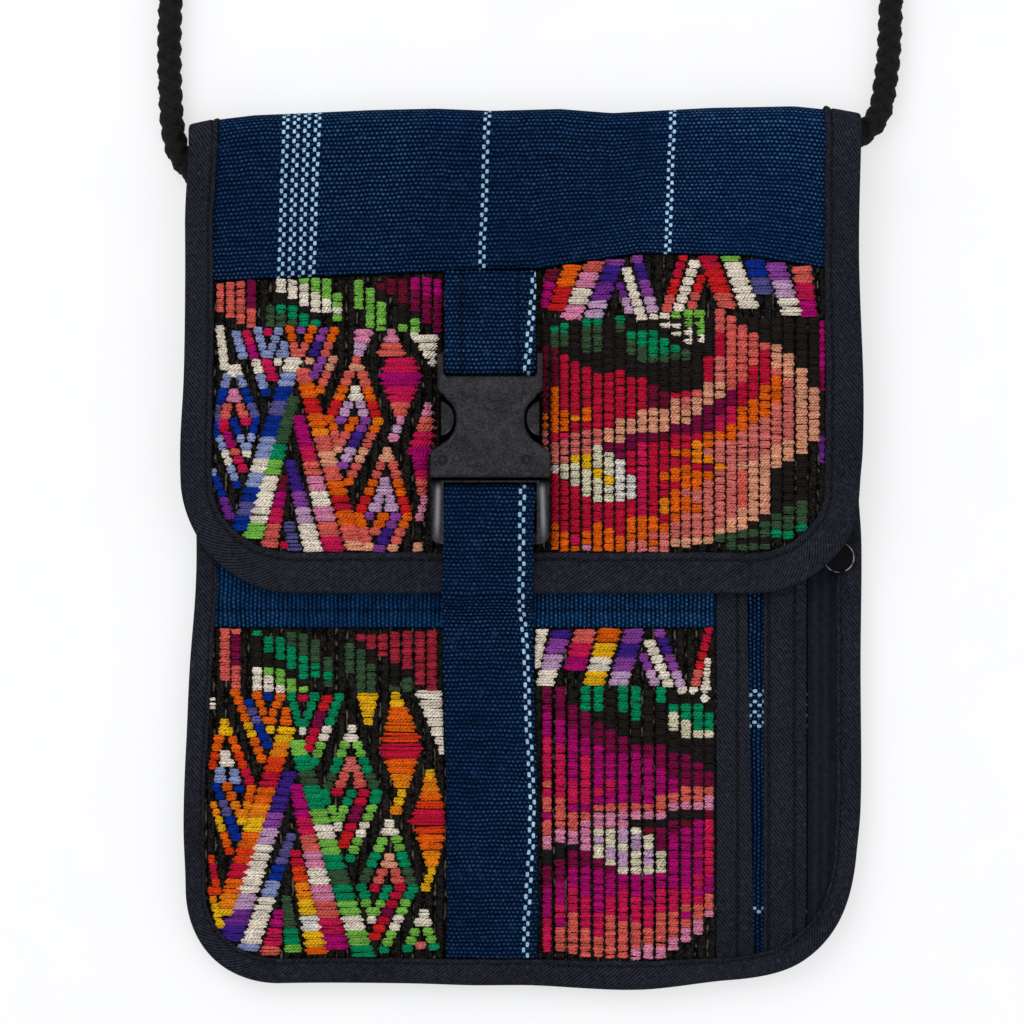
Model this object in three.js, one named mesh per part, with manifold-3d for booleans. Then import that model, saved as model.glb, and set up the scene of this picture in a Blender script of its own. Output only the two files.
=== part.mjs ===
// Travel document bag: a flat cloth pouch with a flap, a side-release buckle and a neck cord.
// Millimetres. The bag lies on its back: +X is the right of its front, +Y its top fold, +Z its front.
import * as THREE from "three";
import { mergeVertices } from "three/addons/utils/BufferGeometryUtils.js";
import Module from "manifold-3d";

const wasm = await Module();
wasm.setup();

// Outline of the pouch and its flap, seen from the front
const SIDE = 90;
const BOTTOM = -116.5;
const POUCH_CORNER = { left: 26, right: 35 };
const POUCH_WAIST = { depth: 3.5, from: -80, run: 70 };
const POUCH_SHOULDER = { left: 2.5, right: 5, from: 40, run: 50 };
const FLAP_BOTTOM = -12;
const FLAP_CORNER = { left: 30, right: 29 };
const FLAP_SHOULDER = { depth: 1.7, from: 85, run: 28 };
const MOUTH_Y = 99;

// Thickness of the layers and the room between them
const CLOTH = 1.2;
const HEM_CLOTH = 1.6;
const TAPE = 1.0;
const GAP = 0.3;
const REST_GAP = 0.35;
const POUCH_ROOM = 5.0;

// Tape widths as they show, and where the cloth's edge lies inside a folded tape
const POUCH_WING = { left: 5.6, right: 6.6, bottom: 7.2 };
const FLAP_WING = { left: 8.0, right: 9.7, bottom: 10.8 };
const EDGE_INSET = 1.5;
const TAPE_WEB = 1.2;
const TAPE_ROUND = { over: 1.8, half: 0.5 };

// How the pouch swells from its flat sewn edge to its middle
const PUFF = { flat: 9.8, run: 16 };
const FLAP_RAISE = { height: 2.5, from: 72, run: 32 };
const CORNER_LIFT = { x: 84, y: 0, height: 1.9, reach: 16 };

// The fold along the top: its reach in y, and its wavering top line
const FOLD_REACH = 5.2;
const FOLD_STEPS = 8;
const FOLD_LINE = [
  { x: -90, y: 111.7 },
  { x: -80, y: 112.6 },
  { x: -40, y: 115.8 },
  { x: -23, y: 116.6 },
  { x: 24, y: 115.3 },
  { x: 50, y: 116.3 },
  { x: 74, y: 116.5 },
  { x: 82, y: 115.4 },
  { x: 90, y: 113.9 },
];

// The seam between the flap's indigo top and its brocade
const SEAM_LINE = [
  { x: -90, y: 70.2 },
  { x: -80, y: 70.6 },
  { x: -21, y: 73.0 },
  { x: 4, y: 73.6 },
  { x: 31, y: 77.8 },
  { x: 60, y: 77.2 },
  { x: 79, y: 74.2 },
  { x: 90, y: 73.0 },
];
const SEAM_RIDGE = { height: 0.9, depth: 7, run: 3, clear: 12, fade: 4 };

// Pieces of the front, by the left and right ends of each
const HEM = { bottom: -21, top: 2 };
const POCKET_RIGHT = 51.2;
const POCKET_TAPE = { left: 51.5, right: 59.4 };
const ZIP_BAND = { left: 64.1, right: 75.5, bottom: -113 };
const ZIP_TAPE = { left: 75.8, bottom: -106.5 };
const ZIP_TOP = 96;
const ZIP_PULL = { x: 84, y: -2.5, radius: 4.3, rim: 0.7, thick: 1.2, dish: 0.5, tab: 2.6, tabTop: 9 };

// Straps and buckle, placed from the strap's middle line
const STRAP_X = -8.4;
const STRAP_WIDTH = 24;
const STRAP = 1.1;
const BAR = { height: 2.6, half: 1.0 };
const STRAP_SEAM_ROOM = 0.8;
const SOCKET = { bottom: 18.6, top: 51.5, half: 15.9, neck: 13.9, waist: 9.3, thick: 7.5, wall: 1.6 };
const SOCKET_SLOT = { half: 12.3, from: 45.4, to: SOCKET.top - 2 * BAR.half };
const SOCKET_WINDOW = { from: 26, waistAt: 34, to: 40.2 };
const SOCKET_ROOM = { top: 43.5, floor: 1.7, height: 4.1 };
const SOCKET_DIMPLE = { radius: 1.3, depth: 0.5, y: 23.2, left: -12.5, right: 9.5 };
const SOCKET_EDGE = { round: 0.6, corner: 2 };
const SOCKET_SIDE = {
  liftFrom: 42.4,
  liftTo: 48.5,
  barRim: 0.4,
  slotRim: 0.9,
  slotDrop: 1.4,
  slope: 41.4,
  slopeDrop: 0.2,
  flat: 30,
};
const PRONG = { bottom: 1.1, top: 18.3, half: 15.8, corner: 3, bar: 13.8, slotTop: 17.4, endBar: 2.8 };
const PRONG_REACH = { half: 13.5, tongue: 24, guide: 2.5, guideTop: 40, tabInner: 8, tabTop: 41.3 };

const PRONG_FRAME = { below: 0.6, under: 0.2 };
const CUT_OVER = 3;

// How the straps come down to what they lie on: where each point is, and its share of the way down
const UPPER_STRAP_SETTLES = [
  { aboveBar: 4, down: 0.14 },
  { aboveBar: 8, down: 0.5 },
  { aboveBar: 12, down: 0.93 },
];
const LOWER_STRAP_OVER_FLAP = [
  { y: -2.5, down: 0.45 },
  { y: -6, down: 0.9 },
  { y: -12.6, down: 1 },
];
const LOWER_STRAP_LANDS = [
  { y: -15, down: 0.5 },
  { y: -18, down: 1 },
];
const LOWER_STRAP_LINES = [-25, -60, -91, -95, -99, -103, -106.5];

// Neck cord
const CORD_RADIUS = 3.5;
const CORD_SIDES = 10;
const CORD_STEPS = 64;
const CORD_Z = CORD_RADIUS + 0.2;
const CORD_ROUTE = [
  { x: -86.9, y: 99.4 },
  { x: -89.2, y: 101.8 },
  { x: -91.5, y: 105.6 },
  { x: -92.8, y: 111.6 },
  { x: -93.3, y: 118.2 },
  { x: -93.7, y: 131.7 },
  { x: -93.4, y: 145.2 },
  { x: -92.6, y: 175 },
  { x: -92, y: 215 },
  { x: -92, y: 260 },
  { x: -91, y: 305 },
  { x: -83, y: 327 },
  { x: -61, y: 336 },
  { x: -39, y: 327 },
  { x: -30, y: 305 },
  { x: -30, y: 262 },
  { x: -30, y: 220 },
  { x: -30, y: 190 },
  { x: -21, y: 168 },
  { x: 1, y: 159 },
  { x: 23, y: 168 },
  { x: 32, y: 190 },
  { x: 32, y: 220 },
  { x: 32, y: 262 },
  { x: 32, y: 305 },
  { x: 41, y: 327 },
  { x: 64, y: 336 },
  { x: 87, y: 327 },
  { x: 96, y: 305 },
  { x: 97, y: 260 },
  { x: 97.8, y: 215 },
  { x: 98.2, y: 175 },
  { x: 98, y: 145.2 },
  { x: 97.4, y: 130.9 },
  { x: 96.6, y: 124 },
  { x: 95.4, y: 116.9 },
  { x: 93.7, y: 113.2 },
  { x: 91.3, y: 110.9 },
  { x: 88.8, y: 108.8 },
];

// Heights of each layer's underside, in the sewn edge and in the pouch's middle
const LAYER = {
  back: { edge: TAPE + GAP, middle: 0 },
  front: { edge: TAPE + CLOTH + 2 * GAP, middle: CLOTH + POUCH_ROOM },
  pocket: { edge: TAPE + 2 * CLOTH + 3 * GAP, middle: 2 * CLOTH + POUCH_ROOM + GAP },
};
const EDGE_TOP = LAYER.pocket.edge + CLOTH + GAP + TAPE;
const FLAP_REST = {
  edge: EDGE_TOP + REST_GAP,
  middle: LAYER.pocket.middle + HEM_CLOTH + REST_GAP,
};
const FLAP_MID = TAPE + GAP + CLOTH / 2;
const FLAP_TOP = FLAP_REST.middle + FLAP_MID + CLOTH / 2;

const { lerp, smoothstep } = THREE.MathUtils;
const ease = (value, from, run) => smoothstep(value, from, from + run);
const puff = (distance) => ease(distance, PUFF.flat, PUFF.run);

// Height of a line that is drawn through a table's points
function lineAt(table, x) {
  const within = THREE.MathUtils.clamp(x, table[0].x, table[table.length - 1].x);
  const after = Math.max(1, table.findIndex((point) => point.x >= within));
  const from = table[after - 1];
  const to = table[after];
  return lerp(from.y, to.y, (within - from.x) / (to.x - from.x));
}

// Left and right edges of the pouch at a height, with its round bottom corners, moved in by an inset
function pouchEdge(y, inset) {
  const waist = POUCH_WAIST.depth * ease(y, POUCH_WAIST.from, POUCH_WAIST.run);
  const shoulder = ease(y, POUCH_SHOULDER.from, POUCH_SHOULDER.run);
  return {
    left: -SIDE + waist + POUCH_SHOULDER.left * shoulder + cornerStep(y, BOTTOM, POUCH_CORNER.left, inset),
    right: SIDE - POUCH_SHOULDER.right * shoulder - cornerStep(y, BOTTOM, POUCH_CORNER.right, inset),
  };
}

function flapEdge(y, inset) {
  const shoulder = FLAP_SHOULDER.depth * ease(y, FLAP_SHOULDER.from, FLAP_SHOULDER.run);
  return {
    left: -SIDE + shoulder + cornerStep(y, FLAP_BOTTOM, FLAP_CORNER.left, inset),
    right: SIDE - cornerStep(y, FLAP_BOTTOM, FLAP_CORNER.right, inset),
  };
}

// How far a round corner of this radius moves the edge in at a height
function cornerStep(y, bottom, radius, inset) {
  const below = Math.max(0, bottom + radius - y);
  const reach = radius - inset;
  return radius - Math.sqrt(Math.max(0, reach * reach - below * below));
}

// Distance from an outline with a round corner, for a point this far from its side and its bottom
function cornerDistance(side, base, radius) {
  return radius - Math.hypot(Math.max(0, radius - side), Math.max(0, radius - base));
}

// The pouch's swelling at a point, from 0 in the sewn edge to 1 in the middle
function pouchPuff(x, y) {
  const edge = pouchEdge(Math.max(y, BOTTOM + POUCH_CORNER.right), 0);
  const left = cornerDistance(x - edge.left, y - BOTTOM, POUCH_CORNER.left);
  const right = cornerDistance(edge.right - x, y - BOTTOM, POUCH_CORNER.right);
  return puff(Math.min(left, right));
}

function layerHeight(layer, x, y) {
  return lerp(layer.edge, layer.middle, pouchPuff(x, y));
}

// Height of the middle of the flap's cloth, which follows what it lies on
function flapHeight(x, y) {
  const swell = puff(x + SIDE) * puff(SIDE - x);
  const raise = FLAP_RAISE.height * ease(y, FLAP_RAISE.from, FLAP_RAISE.run);
  const away = Math.hypot(x - CORNER_LIFT.x, y - CORNER_LIFT.y) / CORNER_LIFT.reach;
  const lift = CORNER_LIFT.height * Math.exp(-away * away) * (1 - swell);
  return lerp(FLAP_REST.edge + raise, FLAP_REST.middle, swell) + lift + FLAP_MID;
}

const foldStart = (x) => lineAt(FOLD_LINE, x) - FOLD_REACH - CLOTH / 2;

// A point of the cloth that runs up the back, over the fold and down the flap, moved outwards by a distance
const shell = {
  back: (x, y, out) => new THREE.Vector3(x, y, layerHeight(LAYER.back, x, y) + CLOTH / 2 - out),
  flap: (x, y, out) => new THREE.Vector3(x, y, flapHeight(x, y) + out),
  fold: (x, turn, out) => {
    const start = foldStart(x);
    const low = layerHeight(LAYER.back, x, start) + CLOTH / 2;
    const high = flapHeight(x, start);
    const y = start + (FOLD_REACH + out) * Math.cos(turn);
    return new THREE.Vector3(x, y, (low + high) / 2 + ((high - low) / 2 + out) * Math.sin(turn));
  },
};

// Left and right edges of that cloth, which change from the pouch's to the flap's round the fold
function shellEdge(zone, value, inset) {
  if (zone === "flap") return flapEdge(value, inset);
  if (zone === "back") return pouchEdge(value, inset);
  const share = value / Math.PI + 0.5;
  const low = pouchEdge(foldStart(0), inset);
  const high = flapEdge(foldStart(0), inset);
  return { left: lerp(low.left, high.left, share), right: lerp(low.right, high.right, share) };
}

// A mesh's faces are turned over where they point inwards
function facingOut(positions, index) {
  const corner = [0, 1, 2].map(() => new THREE.Vector3());
  let volume = 0;
  for (let i = 0; i < index.length; i += 3) {
    corner.forEach((point, k) => point.fromArray(positions, 3 * index[i + k]));
    volume += corner[0].dot(corner[1].clone().cross(corner[2]));
  }
  const geometry = new THREE.BufferGeometry();
  geometry.setAttribute("position", new THREE.Float32BufferAttribute(positions, 3));
  geometry.setIndex(volume < 0 ? [...index].reverse() : index);
  return geometry;
}

// A wall between two surfaces that share a grid of rows and columns, closed round its rim
function wall(rows, columns, upper, lower) {
  const positions = [];
  const index = [];
  for (const surface of [upper, lower]) {
    for (let i = 0; i < rows; i += 1) {
      for (let j = 0; j < columns; j += 1) positions.push(...surface(i, j).toArray());
    }
  }
  const at = (side, i, j) => side * rows * columns + i * columns + j;
  const quad = (a, b, c, d) => index.push(a, b, c, a, c, d);
  for (let i = 0; i + 1 < rows; i += 1) {
    for (let j = 0; j + 1 < columns; j += 1) {
      quad(at(0, i, j), at(0, i, j + 1), at(0, i + 1, j + 1), at(0, i + 1, j));
      quad(at(1, i, j), at(1, i + 1, j), at(1, i + 1, j + 1), at(1, i, j + 1));
    }
  }
  const rim = [];
  for (let j = 0; j < columns; j += 1) rim.push([0, j]);
  for (let i = 1; i < rows; i += 1) rim.push([i, columns - 1]);
  for (let j = columns - 2; j >= 0; j -= 1) rim.push([rows - 1, j]);
  for (let i = rows - 2; i > 0; i -= 1) rim.push([i, 0]);
  rim.forEach((here, k) => {
    const next = rim[(k + 1) % rim.length];
    quad(at(0, ...here), at(1, ...here), at(1, ...next), at(0, ...next));
  });
  return facingOut(positions, index);
}

// A closed profile carried through stations, with flat ends
function swept(stations, profile, place) {
  const positions = [];
  const index = [];
  const rings = stations.map((station) => profile(station));
  rings.forEach((ring, i) => {
    for (const [o, n] of ring) positions.push(...place(stations[i], o, n).toArray());
  });
  const count = rings[0].length;
  for (let i = 0; i + 1 < rings.length; i += 1) {
    for (let k = 0; k < count; k += 1) {
      const a = i * count + k;
      const b = i * count + ((k + 1) % count);
      index.push(a, b, b + count, a, b + count, a + count);
    }
  }
  const cap = (i, flip) => {
    const points = rings[i].map(([o, n]) => new THREE.Vector2(o, n));
    for (const [a, b, c] of THREE.ShapeUtils.triangulateShape(points, [])) {
      const face = [a, b, c].map((k) => i * count + k);
      index.push(...(flip ? face.reverse() : face));
    }
  };
  const clockwise = THREE.ShapeUtils.isClockWise(rings[0].map(([o, n]) => new THREE.Vector2(o, n)));
  cap(0, !clockwise);
  cap(rings.length - 1, clockwise);
  return facingOut(positions, index);
}

// Distances from an edge at which a sheet's grid has lines: close where the cloth swells, wide in the middle
const EDGE_STEPS = [0, 5, 9.8, 13, 16, 19, 22, 25.8];
const MIDDLE_STEP = 34;
const STRIP = { width: 40, step: 3.8 };

// Distances from the flap's bottom edge at which it has a grid line: close where its corners are round
const FLAP_ROW_STEPS = [0, 0.8, 2.2, 4.2, 7, 11, 17, 27, 50];

// Heights at which the pouch's long sides have a grid line
const SIDE_LINES = [-62, -35, -8, 20, 40, 53, 66, 79, 92];

function gridLines(from, to, closeAtFrom, closeAtTo) {
  const steps = EDGE_STEPS.filter((step) => step < (to - from) / 2);
  const low = closeAtFrom ? steps.map((step) => from + step) : [from];
  const high = closeAtTo ? steps.map((step) => to - step).reverse() : [to];
  const start = low[low.length - 1];
  const step = to - from < STRIP.width ? STRIP.step : MIDDLE_STEP;
  const spans = Math.max(1, Math.round((high[0] - start) / step));
  const middle = Array.from({ length: spans - 1 }, (_, k) => lerp(start, high[0], (k + 1) / spans));
  return [...low, ...middle, ...high];
}

const shares = (lines) => lines.map((value) => (value - lines[0]) / (lines[lines.length - 1] - lines[0]));
const FULL_COLUMNS = shares(gridLines(-SIDE, SIDE, true, true));

// Rows of a sheet of the pouch, closer where its bottom edge is round
const POUCH_ROWS = [...EDGE_STEPS.map((step) => BOTTOM + EDGE_INSET + step), ...SIDE_LINES];

// A sheet of the pouch's front or back between two sides, at a layer's height
function pouchSheet({ layer, thick, left, right, bottom, top }) {
  const limits = (y) => {
    const edge = pouchEdge(y, EDGE_INSET);
    return { left: Math.max(edge.left, left ?? -SIDE), right: Math.min(edge.right, right ?? SIDE) };
  };
  const floor = bottom ?? BOTTOM + EDGE_INSET;
  const inside = POUCH_ROWS.filter((y) => y > floor + 1 && y < top - 1);
  const rows = [floor, ...inside, top];
  const wide = gridLines(limits(top).left, limits(top).right, left === undefined, right === undefined);
  const columns = shares(wide);
  const point = (lift) => (i, j) => {
    const edge = limits(rows[i]);
    const x = lerp(edge.left, edge.right, columns[j]);
    const edgeLift = Math.min(lift, CLOTH);
    const height = layerHeight(layer, x, rows[i]) + lerp(edgeLift, lift, pouchPuff(x, rows[i]));
    return new THREE.Vector3(x, rows[i], height);
  };
  return wall(rows.length, columns.length, point(thick), point(0));
}

// The indigo cloth of the back, the fold and the flap's top
function backAndFlap() {
  const flapShares = [0.15, 0.32, 0.5, 0.68, 0.8, 0.9, 1];
  const rows = [
    ...POUCH_ROWS.map((y) => ({ zone: "back", value: y })),
    ...Array.from({ length: FOLD_STEPS + 1 }, (_, k) => ({
      zone: "fold",
      value: Math.PI * (k / FOLD_STEPS - 0.5),
    })),
    ...flapShares.map((share) => ({ zone: "flap", share })),
  ];
  const point = (side) => (i, j) => {
    const { zone, value, share } = rows[i];
    if (zone !== "flap") {
      const edge = shellEdge(zone, value, EDGE_INSET);
      return shell[zone](lerp(edge.left, edge.right, FULL_COLUMNS[j]), value, side * (CLOTH / 2));
    }
    const guess = shellEdge("flap", foldStart(0), EDGE_INSET);
    const middle = lerp(guess.left, guess.right, FULL_COLUMNS[j]);
    const seam = lineAt(SEAM_LINE, middle) + GAP / 2;
    const y = lerp(foldStart(middle), seam, share);
    const edge = shellEdge("flap", y, EDGE_INSET);
    const x = lerp(edge.left, edge.right, FULL_COLUMNS[j]);
    const clear = Math.min(x + SIDE, SIDE - x);
    const ridge = SEAM_RIDGE.height * ease(clear, SEAM_RIDGE.clear, SEAM_RIDGE.fade);
    const rise = ridge * (1 - ease(y, seam + SEAM_RIDGE.depth - SEAM_RIDGE.run, SEAM_RIDGE.run));
    return shell.flap(x, y, side * (CLOTH / 2) + (side > 0 ? rise : 0));
  };
  return wall(rows.length, FULL_COLUMNS.length, point(1), point(-1));
}

// The brocade part of the flap, from the seam down to the round corners
function flapPanel() {
  const bottom = FLAP_BOTTOM + EDGE_INSET;
  const top = lineAt(SEAM_LINE, -SIDE);
  const rows = [...FLAP_ROW_STEPS.map((step) => bottom + step), top];
  const point = (side) => (i, j) => {
    const edge = flapEdge(rows[i], EDGE_INSET);
    const x = lerp(edge.left, edge.right, FULL_COLUMNS[j]);
    const seam = lineAt(SEAM_LINE, x) - GAP / 2;
    return shell.flap(x, lerp(bottom, seam, (rows[i] - bottom) / (top - bottom)), side * (CLOTH / 2));
  };
  return wall(rows.length, FULL_COLUMNS.length, point(1), point(-1));
}

const wingAt = (widths, [x, y]) =>
  widths.left * Math.max(0, -x) ** 2 + widths.right * Math.max(0, x) ** 2 + widths.bottom * y * y;

// Section of a tape folded over an edge: out is 0 at its outer side, up is measured from its middle.
// Each wing has lines at the given shares of its width, where it can bend over what it lies on.
function foldedTape(wing, room, bendShares) {
  const inner = room / 2;
  const outer = inner + TAPE;
  const round = TAPE_ROUND.over;
  const bends = (up) => bendShares.map((share) => [-wing * share, up]);
  return [
    [-wing, -outer],
    ...bends(-outer).reverse(),
    [-round, -outer],
    [-TAPE_ROUND.half, -outer + TAPE_ROUND.half],
    [0, -outer + round],
    [0, outer - round],
    [-TAPE_ROUND.half, outer - TAPE_ROUND.half],
    [-round, outer],
    ...bends(outer),
    [-wing, outer],
    [-wing, inner],
    ...bends(inner).reverse(),
    [-TAPE_WEB, inner],
    [-TAPE_WEB, -inner],
    ...bends(-inner),
    [-wing, -inner],
  ];
}

// Stations round two sides and a bottom with round corners, each with its outward direction
function roundEdge({ edgeAt, bottom, corner, turns, sideLines, bottomLines }) {
  const arc = (x, radius, start) =>
    Array.from({ length: turns }, (_, k) => {
      const angle = start + (Math.PI / 2) * (k / (turns - 1));
      const out = [Math.cos(angle), Math.sin(angle)];
      return { x: x + radius * out[0], value: bottom + radius + radius * out[1], out };
    });
  const left = sideLines.left.map((y) => ({ x: edgeAt(y, 0).left, value: y, out: [-1, 0] }));
  const right = sideLines.right.map((y) => ({ x: edgeAt(y, 0).right, value: y, out: [1, 0] }));
  const along = bottomLines.map((x) => ({ x, value: bottom, out: [0, -1] }));
  return [
    ...left,
    ...arc(-SIDE + corner.left, corner.left, Math.PI),
    ...along,
    ...arc(SIDE - corner.right, corner.right, 1.5 * Math.PI),
    ...right,
  ];
}

// The left side is bound up to the fold; the right side stops at the mouth
function pouchBinding() {
  const stations = roundEdge({
    edgeAt: pouchEdge,
    bottom: BOTTOM,
    corner: POUCH_CORNER,
    turns: 8,
    sideLines: {
      left: [...SIDE_LINES, foldStart(-SIDE) - GAP].reverse(),
      right: [...SIDE_LINES, MOUTH_Y],
    },
    bottomLines: [-30, 20],
  });
  const place = ({ x, value, out }, o, n) =>
    new THREE.Vector3(x + out[0] * o, value + out[1] * o, EDGE_TOP / 2 + n);
  const profile = ({ out }) => foldedTape(wingAt(POUCH_WING, out), EDGE_TOP - 2 * TAPE, []);
  return swept(stations, profile, place);
}

function flapBinding() {
  const sides = [101, 95, 88, 81, 74, 62, 48, 32];
  const flat = roundEdge({
    edgeAt: flapEdge,
    bottom: FLAP_BOTTOM,
    corner: FLAP_CORNER,
    turns: 12,
    sideLines: { left: sides, right: [...sides].reverse() },
    bottomLines: [-40, -10, 20, 45],
  });
  const foldEnd = (side) => {
    const sign = side === "left" ? -1 : 1;
    const turns = Array.from({ length: FOLD_STEPS + 1 }, (_, k) => Math.PI * (k / FOLD_STEPS - 0.5));
    const fold = turns.map((turn) => ({
      zone: "fold",
      x: shellEdge("fold", turn, 0)[side],
      value: turn,
      out: [sign, 0],
    }));
    const join = { zone: "back", x: pouchEdge(MOUTH_Y + GAP, 0)[side], value: MOUTH_Y + GAP, out: [sign, 0] };
    return side === "left" ? fold : [join, ...fold];
  };
  const stations = [
    ...foldEnd("left"),
    ...flat.map((station) => ({ zone: "flap", ...station })),
    ...foldEnd("right").reverse(),
  ];
  const place = ({ zone, x, value, out }, o, n) => shell[zone](x + out[0] * o, value + out[1] * o, n);
  const profile = ({ out }) => foldedTape(wingAt(FLAP_WING, out), CLOTH + 2 * GAP, [0.6]);
  return swept(stations, profile, place);
}

// Solids that are joined and cut
function solidOf(geometry) {
  const plain = geometry.clone();
  plain.deleteAttribute("normal");
  plain.deleteAttribute("uv");
  const merged = mergeVertices(plain, 1e-4);
  const vertProperties = new Float32Array(merged.attributes.position.array);
  const triVerts = new Uint32Array(merged.index.array);
  return new wasm.Manifold(new wasm.Mesh({ numProp: 3, vertProperties, triVerts }));
}

function geometryOf(solid) {
  const mesh = solid.getMesh();
  const geometry = new THREE.BufferGeometry();
  geometry.setAttribute("position", new THREE.Float32BufferAttribute(mesh.vertProperties, 3));
  geometry.setIndex([...mesh.triVerts]);
  return geometry;
}

// A plan outline raised from one height to another
function raised(shape, from, to, options = {}) {
  const geometry = new THREE.ExtrudeGeometry(shape, {
    depth: to - from,
    bevelEnabled: false,
    curveSegments: 6,
    ...options,
  });
  return geometry.translate(0, 0, from);
}

// An outline in y and z carried across x about the strap's middle line
function across(shape, width) {
  const geometry = new THREE.ExtrudeGeometry(shape, { depth: width, bevelEnabled: false, curveSegments: 6 });
  const turn = new THREE.Matrix4().makeBasis(
    new THREE.Vector3(0, 1, 0),
    new THREE.Vector3(0, 0, 1),
    new THREE.Vector3(1, 0, 0),
  );
  return geometry.applyMatrix4(turn).translate(STRAP_X - width / 2, 0, 0);
}

function block(halfWidth, fromY, toY, fromZ, toZ) {
  const geometry = new THREE.BoxGeometry(2 * halfWidth, toY - fromY, toZ - fromZ);
  return solidOf(geometry.translate(STRAP_X, (fromY + toY) / 2, (fromZ + toZ) / 2));
}

const outline = (points) => new THREE.Shape(points.map(([x, y]) => new THREE.Vector2(x, y)));

// A plan outline given by its right half from bottom to top, mirrored about the strap's middle line
function mirrored(half) {
  const other = [...half].reverse().map(([x, y]) => [-x, y]);
  return outline([...half, ...other].map(([x, y]) => [STRAP_X + x, y]));
}

// Points of a quarter of an ellipse from one point to another, leaving the first along x or along y
function bend(from, to, alongX) {
  const count = 5;
  return Array.from({ length: count }, (_, k) => {
    const angle = (Math.PI / 2) * (k / (count - 1));
    const fast = Math.sin(angle);
    const slow = 1 - Math.cos(angle);
    return [lerp(from[0], to[0], alongX ? fast : slow), lerp(from[1], to[1], alongX ? slow : fast)];
  });
}

// Heights of the strap's two layers and of the buckle between them
const STRAP_LOW = FLAP_TOP + GAP;
const BAR_LOW = STRAP_LOW + STRAP + GAP;
const BAR_MIDDLE = BAR_LOW + BAR.height / 2;
const STRAP_HIGH = BAR_LOW + BAR.height + GAP;
const LOOP_REACH = { y: BAR.half + GAP + STRAP / 2 + 0.85, z: BAR.height / 2 + GAP + STRAP / 2 };
const SOCKET_LOW = FLAP_TOP + REST_GAP;
const SOCKET_HIGH = SOCKET_LOW + SOCKET.thick;
const ROOM_LOW = SOCKET_LOW + SOCKET_ROOM.floor;
const ROOM_HIGH = ROOM_LOW + SOCKET_ROOM.height;

// A strap of even thickness along a line in y and z
function strapAlong(line) {
  const sides = line.map(([y, z], k) => {
    const before = line[Math.max(0, k - 1)];
    const after = line[Math.min(line.length - 1, k + 1)];
    const length = Math.hypot(after[0] - before[0], after[1] - before[1]);
    const normal = [-(after[1] - before[1]) / length, (after[0] - before[0]) / length];
    return [1, -1].map((side) => [y + side * normal[0] * (STRAP / 2), z + side * normal[1] * (STRAP / 2)]);
  });
  return across(outline([...sides.map(([a]) => a), ...sides.map(([, b]) => b).reverse()]), STRAP_WIDTH);
}

// A half turn round a buckle's bar, from under it to over it, bulging up or down the bag
function loopRound(y, bulge) {
  const turns = 8;
  return Array.from({ length: turns + 1 }, (_, k) => {
    const angle = Math.PI * (k / turns - 0.5);
    return [y + bulge * LOOP_REACH.y * Math.cos(angle), BAR_MIDDLE + LOOP_REACH.z * Math.sin(angle)];
  });
}

function upperStrap() {
  const bar = SOCKET.top - BAR.half;
  const seam = lineAt(SEAM_LINE, STRAP_X) - STRAP_SEAM_ROOM;
  const low = STRAP_LOW + STRAP / 2;
  const high = STRAP_HIGH + STRAP / 2;
  const meets = low + STRAP + GAP;
  return strapAlong([
    [seam, low],
    ...loopRound(bar, -1),
    ...UPPER_STRAP_SETTLES.map(({ aboveBar, down }) => [bar + aboveBar, lerp(high, meets, down)]),
    [seam, meets],
  ]);
}

function lowerStrap() {
  const high = STRAP_HIGH + STRAP / 2;
  const overFlap = FLAP_TOP + GAP + TAPE + GAP + STRAP / 2;
  const onPocket = (y, thick) => layerHeight(LAYER.pocket, STRAP_X, y) + thick + GAP + STRAP / 2;
  const onHem = onPocket(HEM.bottom, HEM_CLOTH);
  const end = BOTTOM + POUCH_WING.bottom + GAP;
  return strapAlong([
    [PRONG.bottom + PRONG.endBar, STRAP_LOW + STRAP / 2],
    ...loopRound(PRONG.bar, 1),
    [PRONG.bottom - GAP, high],
    ...LOWER_STRAP_OVER_FLAP.map(({ y, down }) => [y, lerp(high, overFlap, down)]),
    ...LOWER_STRAP_LANDS.map(({ y, down }) => [y, lerp(overFlap, onHem, down)]),
    ...[...LOWER_STRAP_LINES, end].map((y) => [y, onPocket(y, CLOTH)]),
  ]);
}

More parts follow.
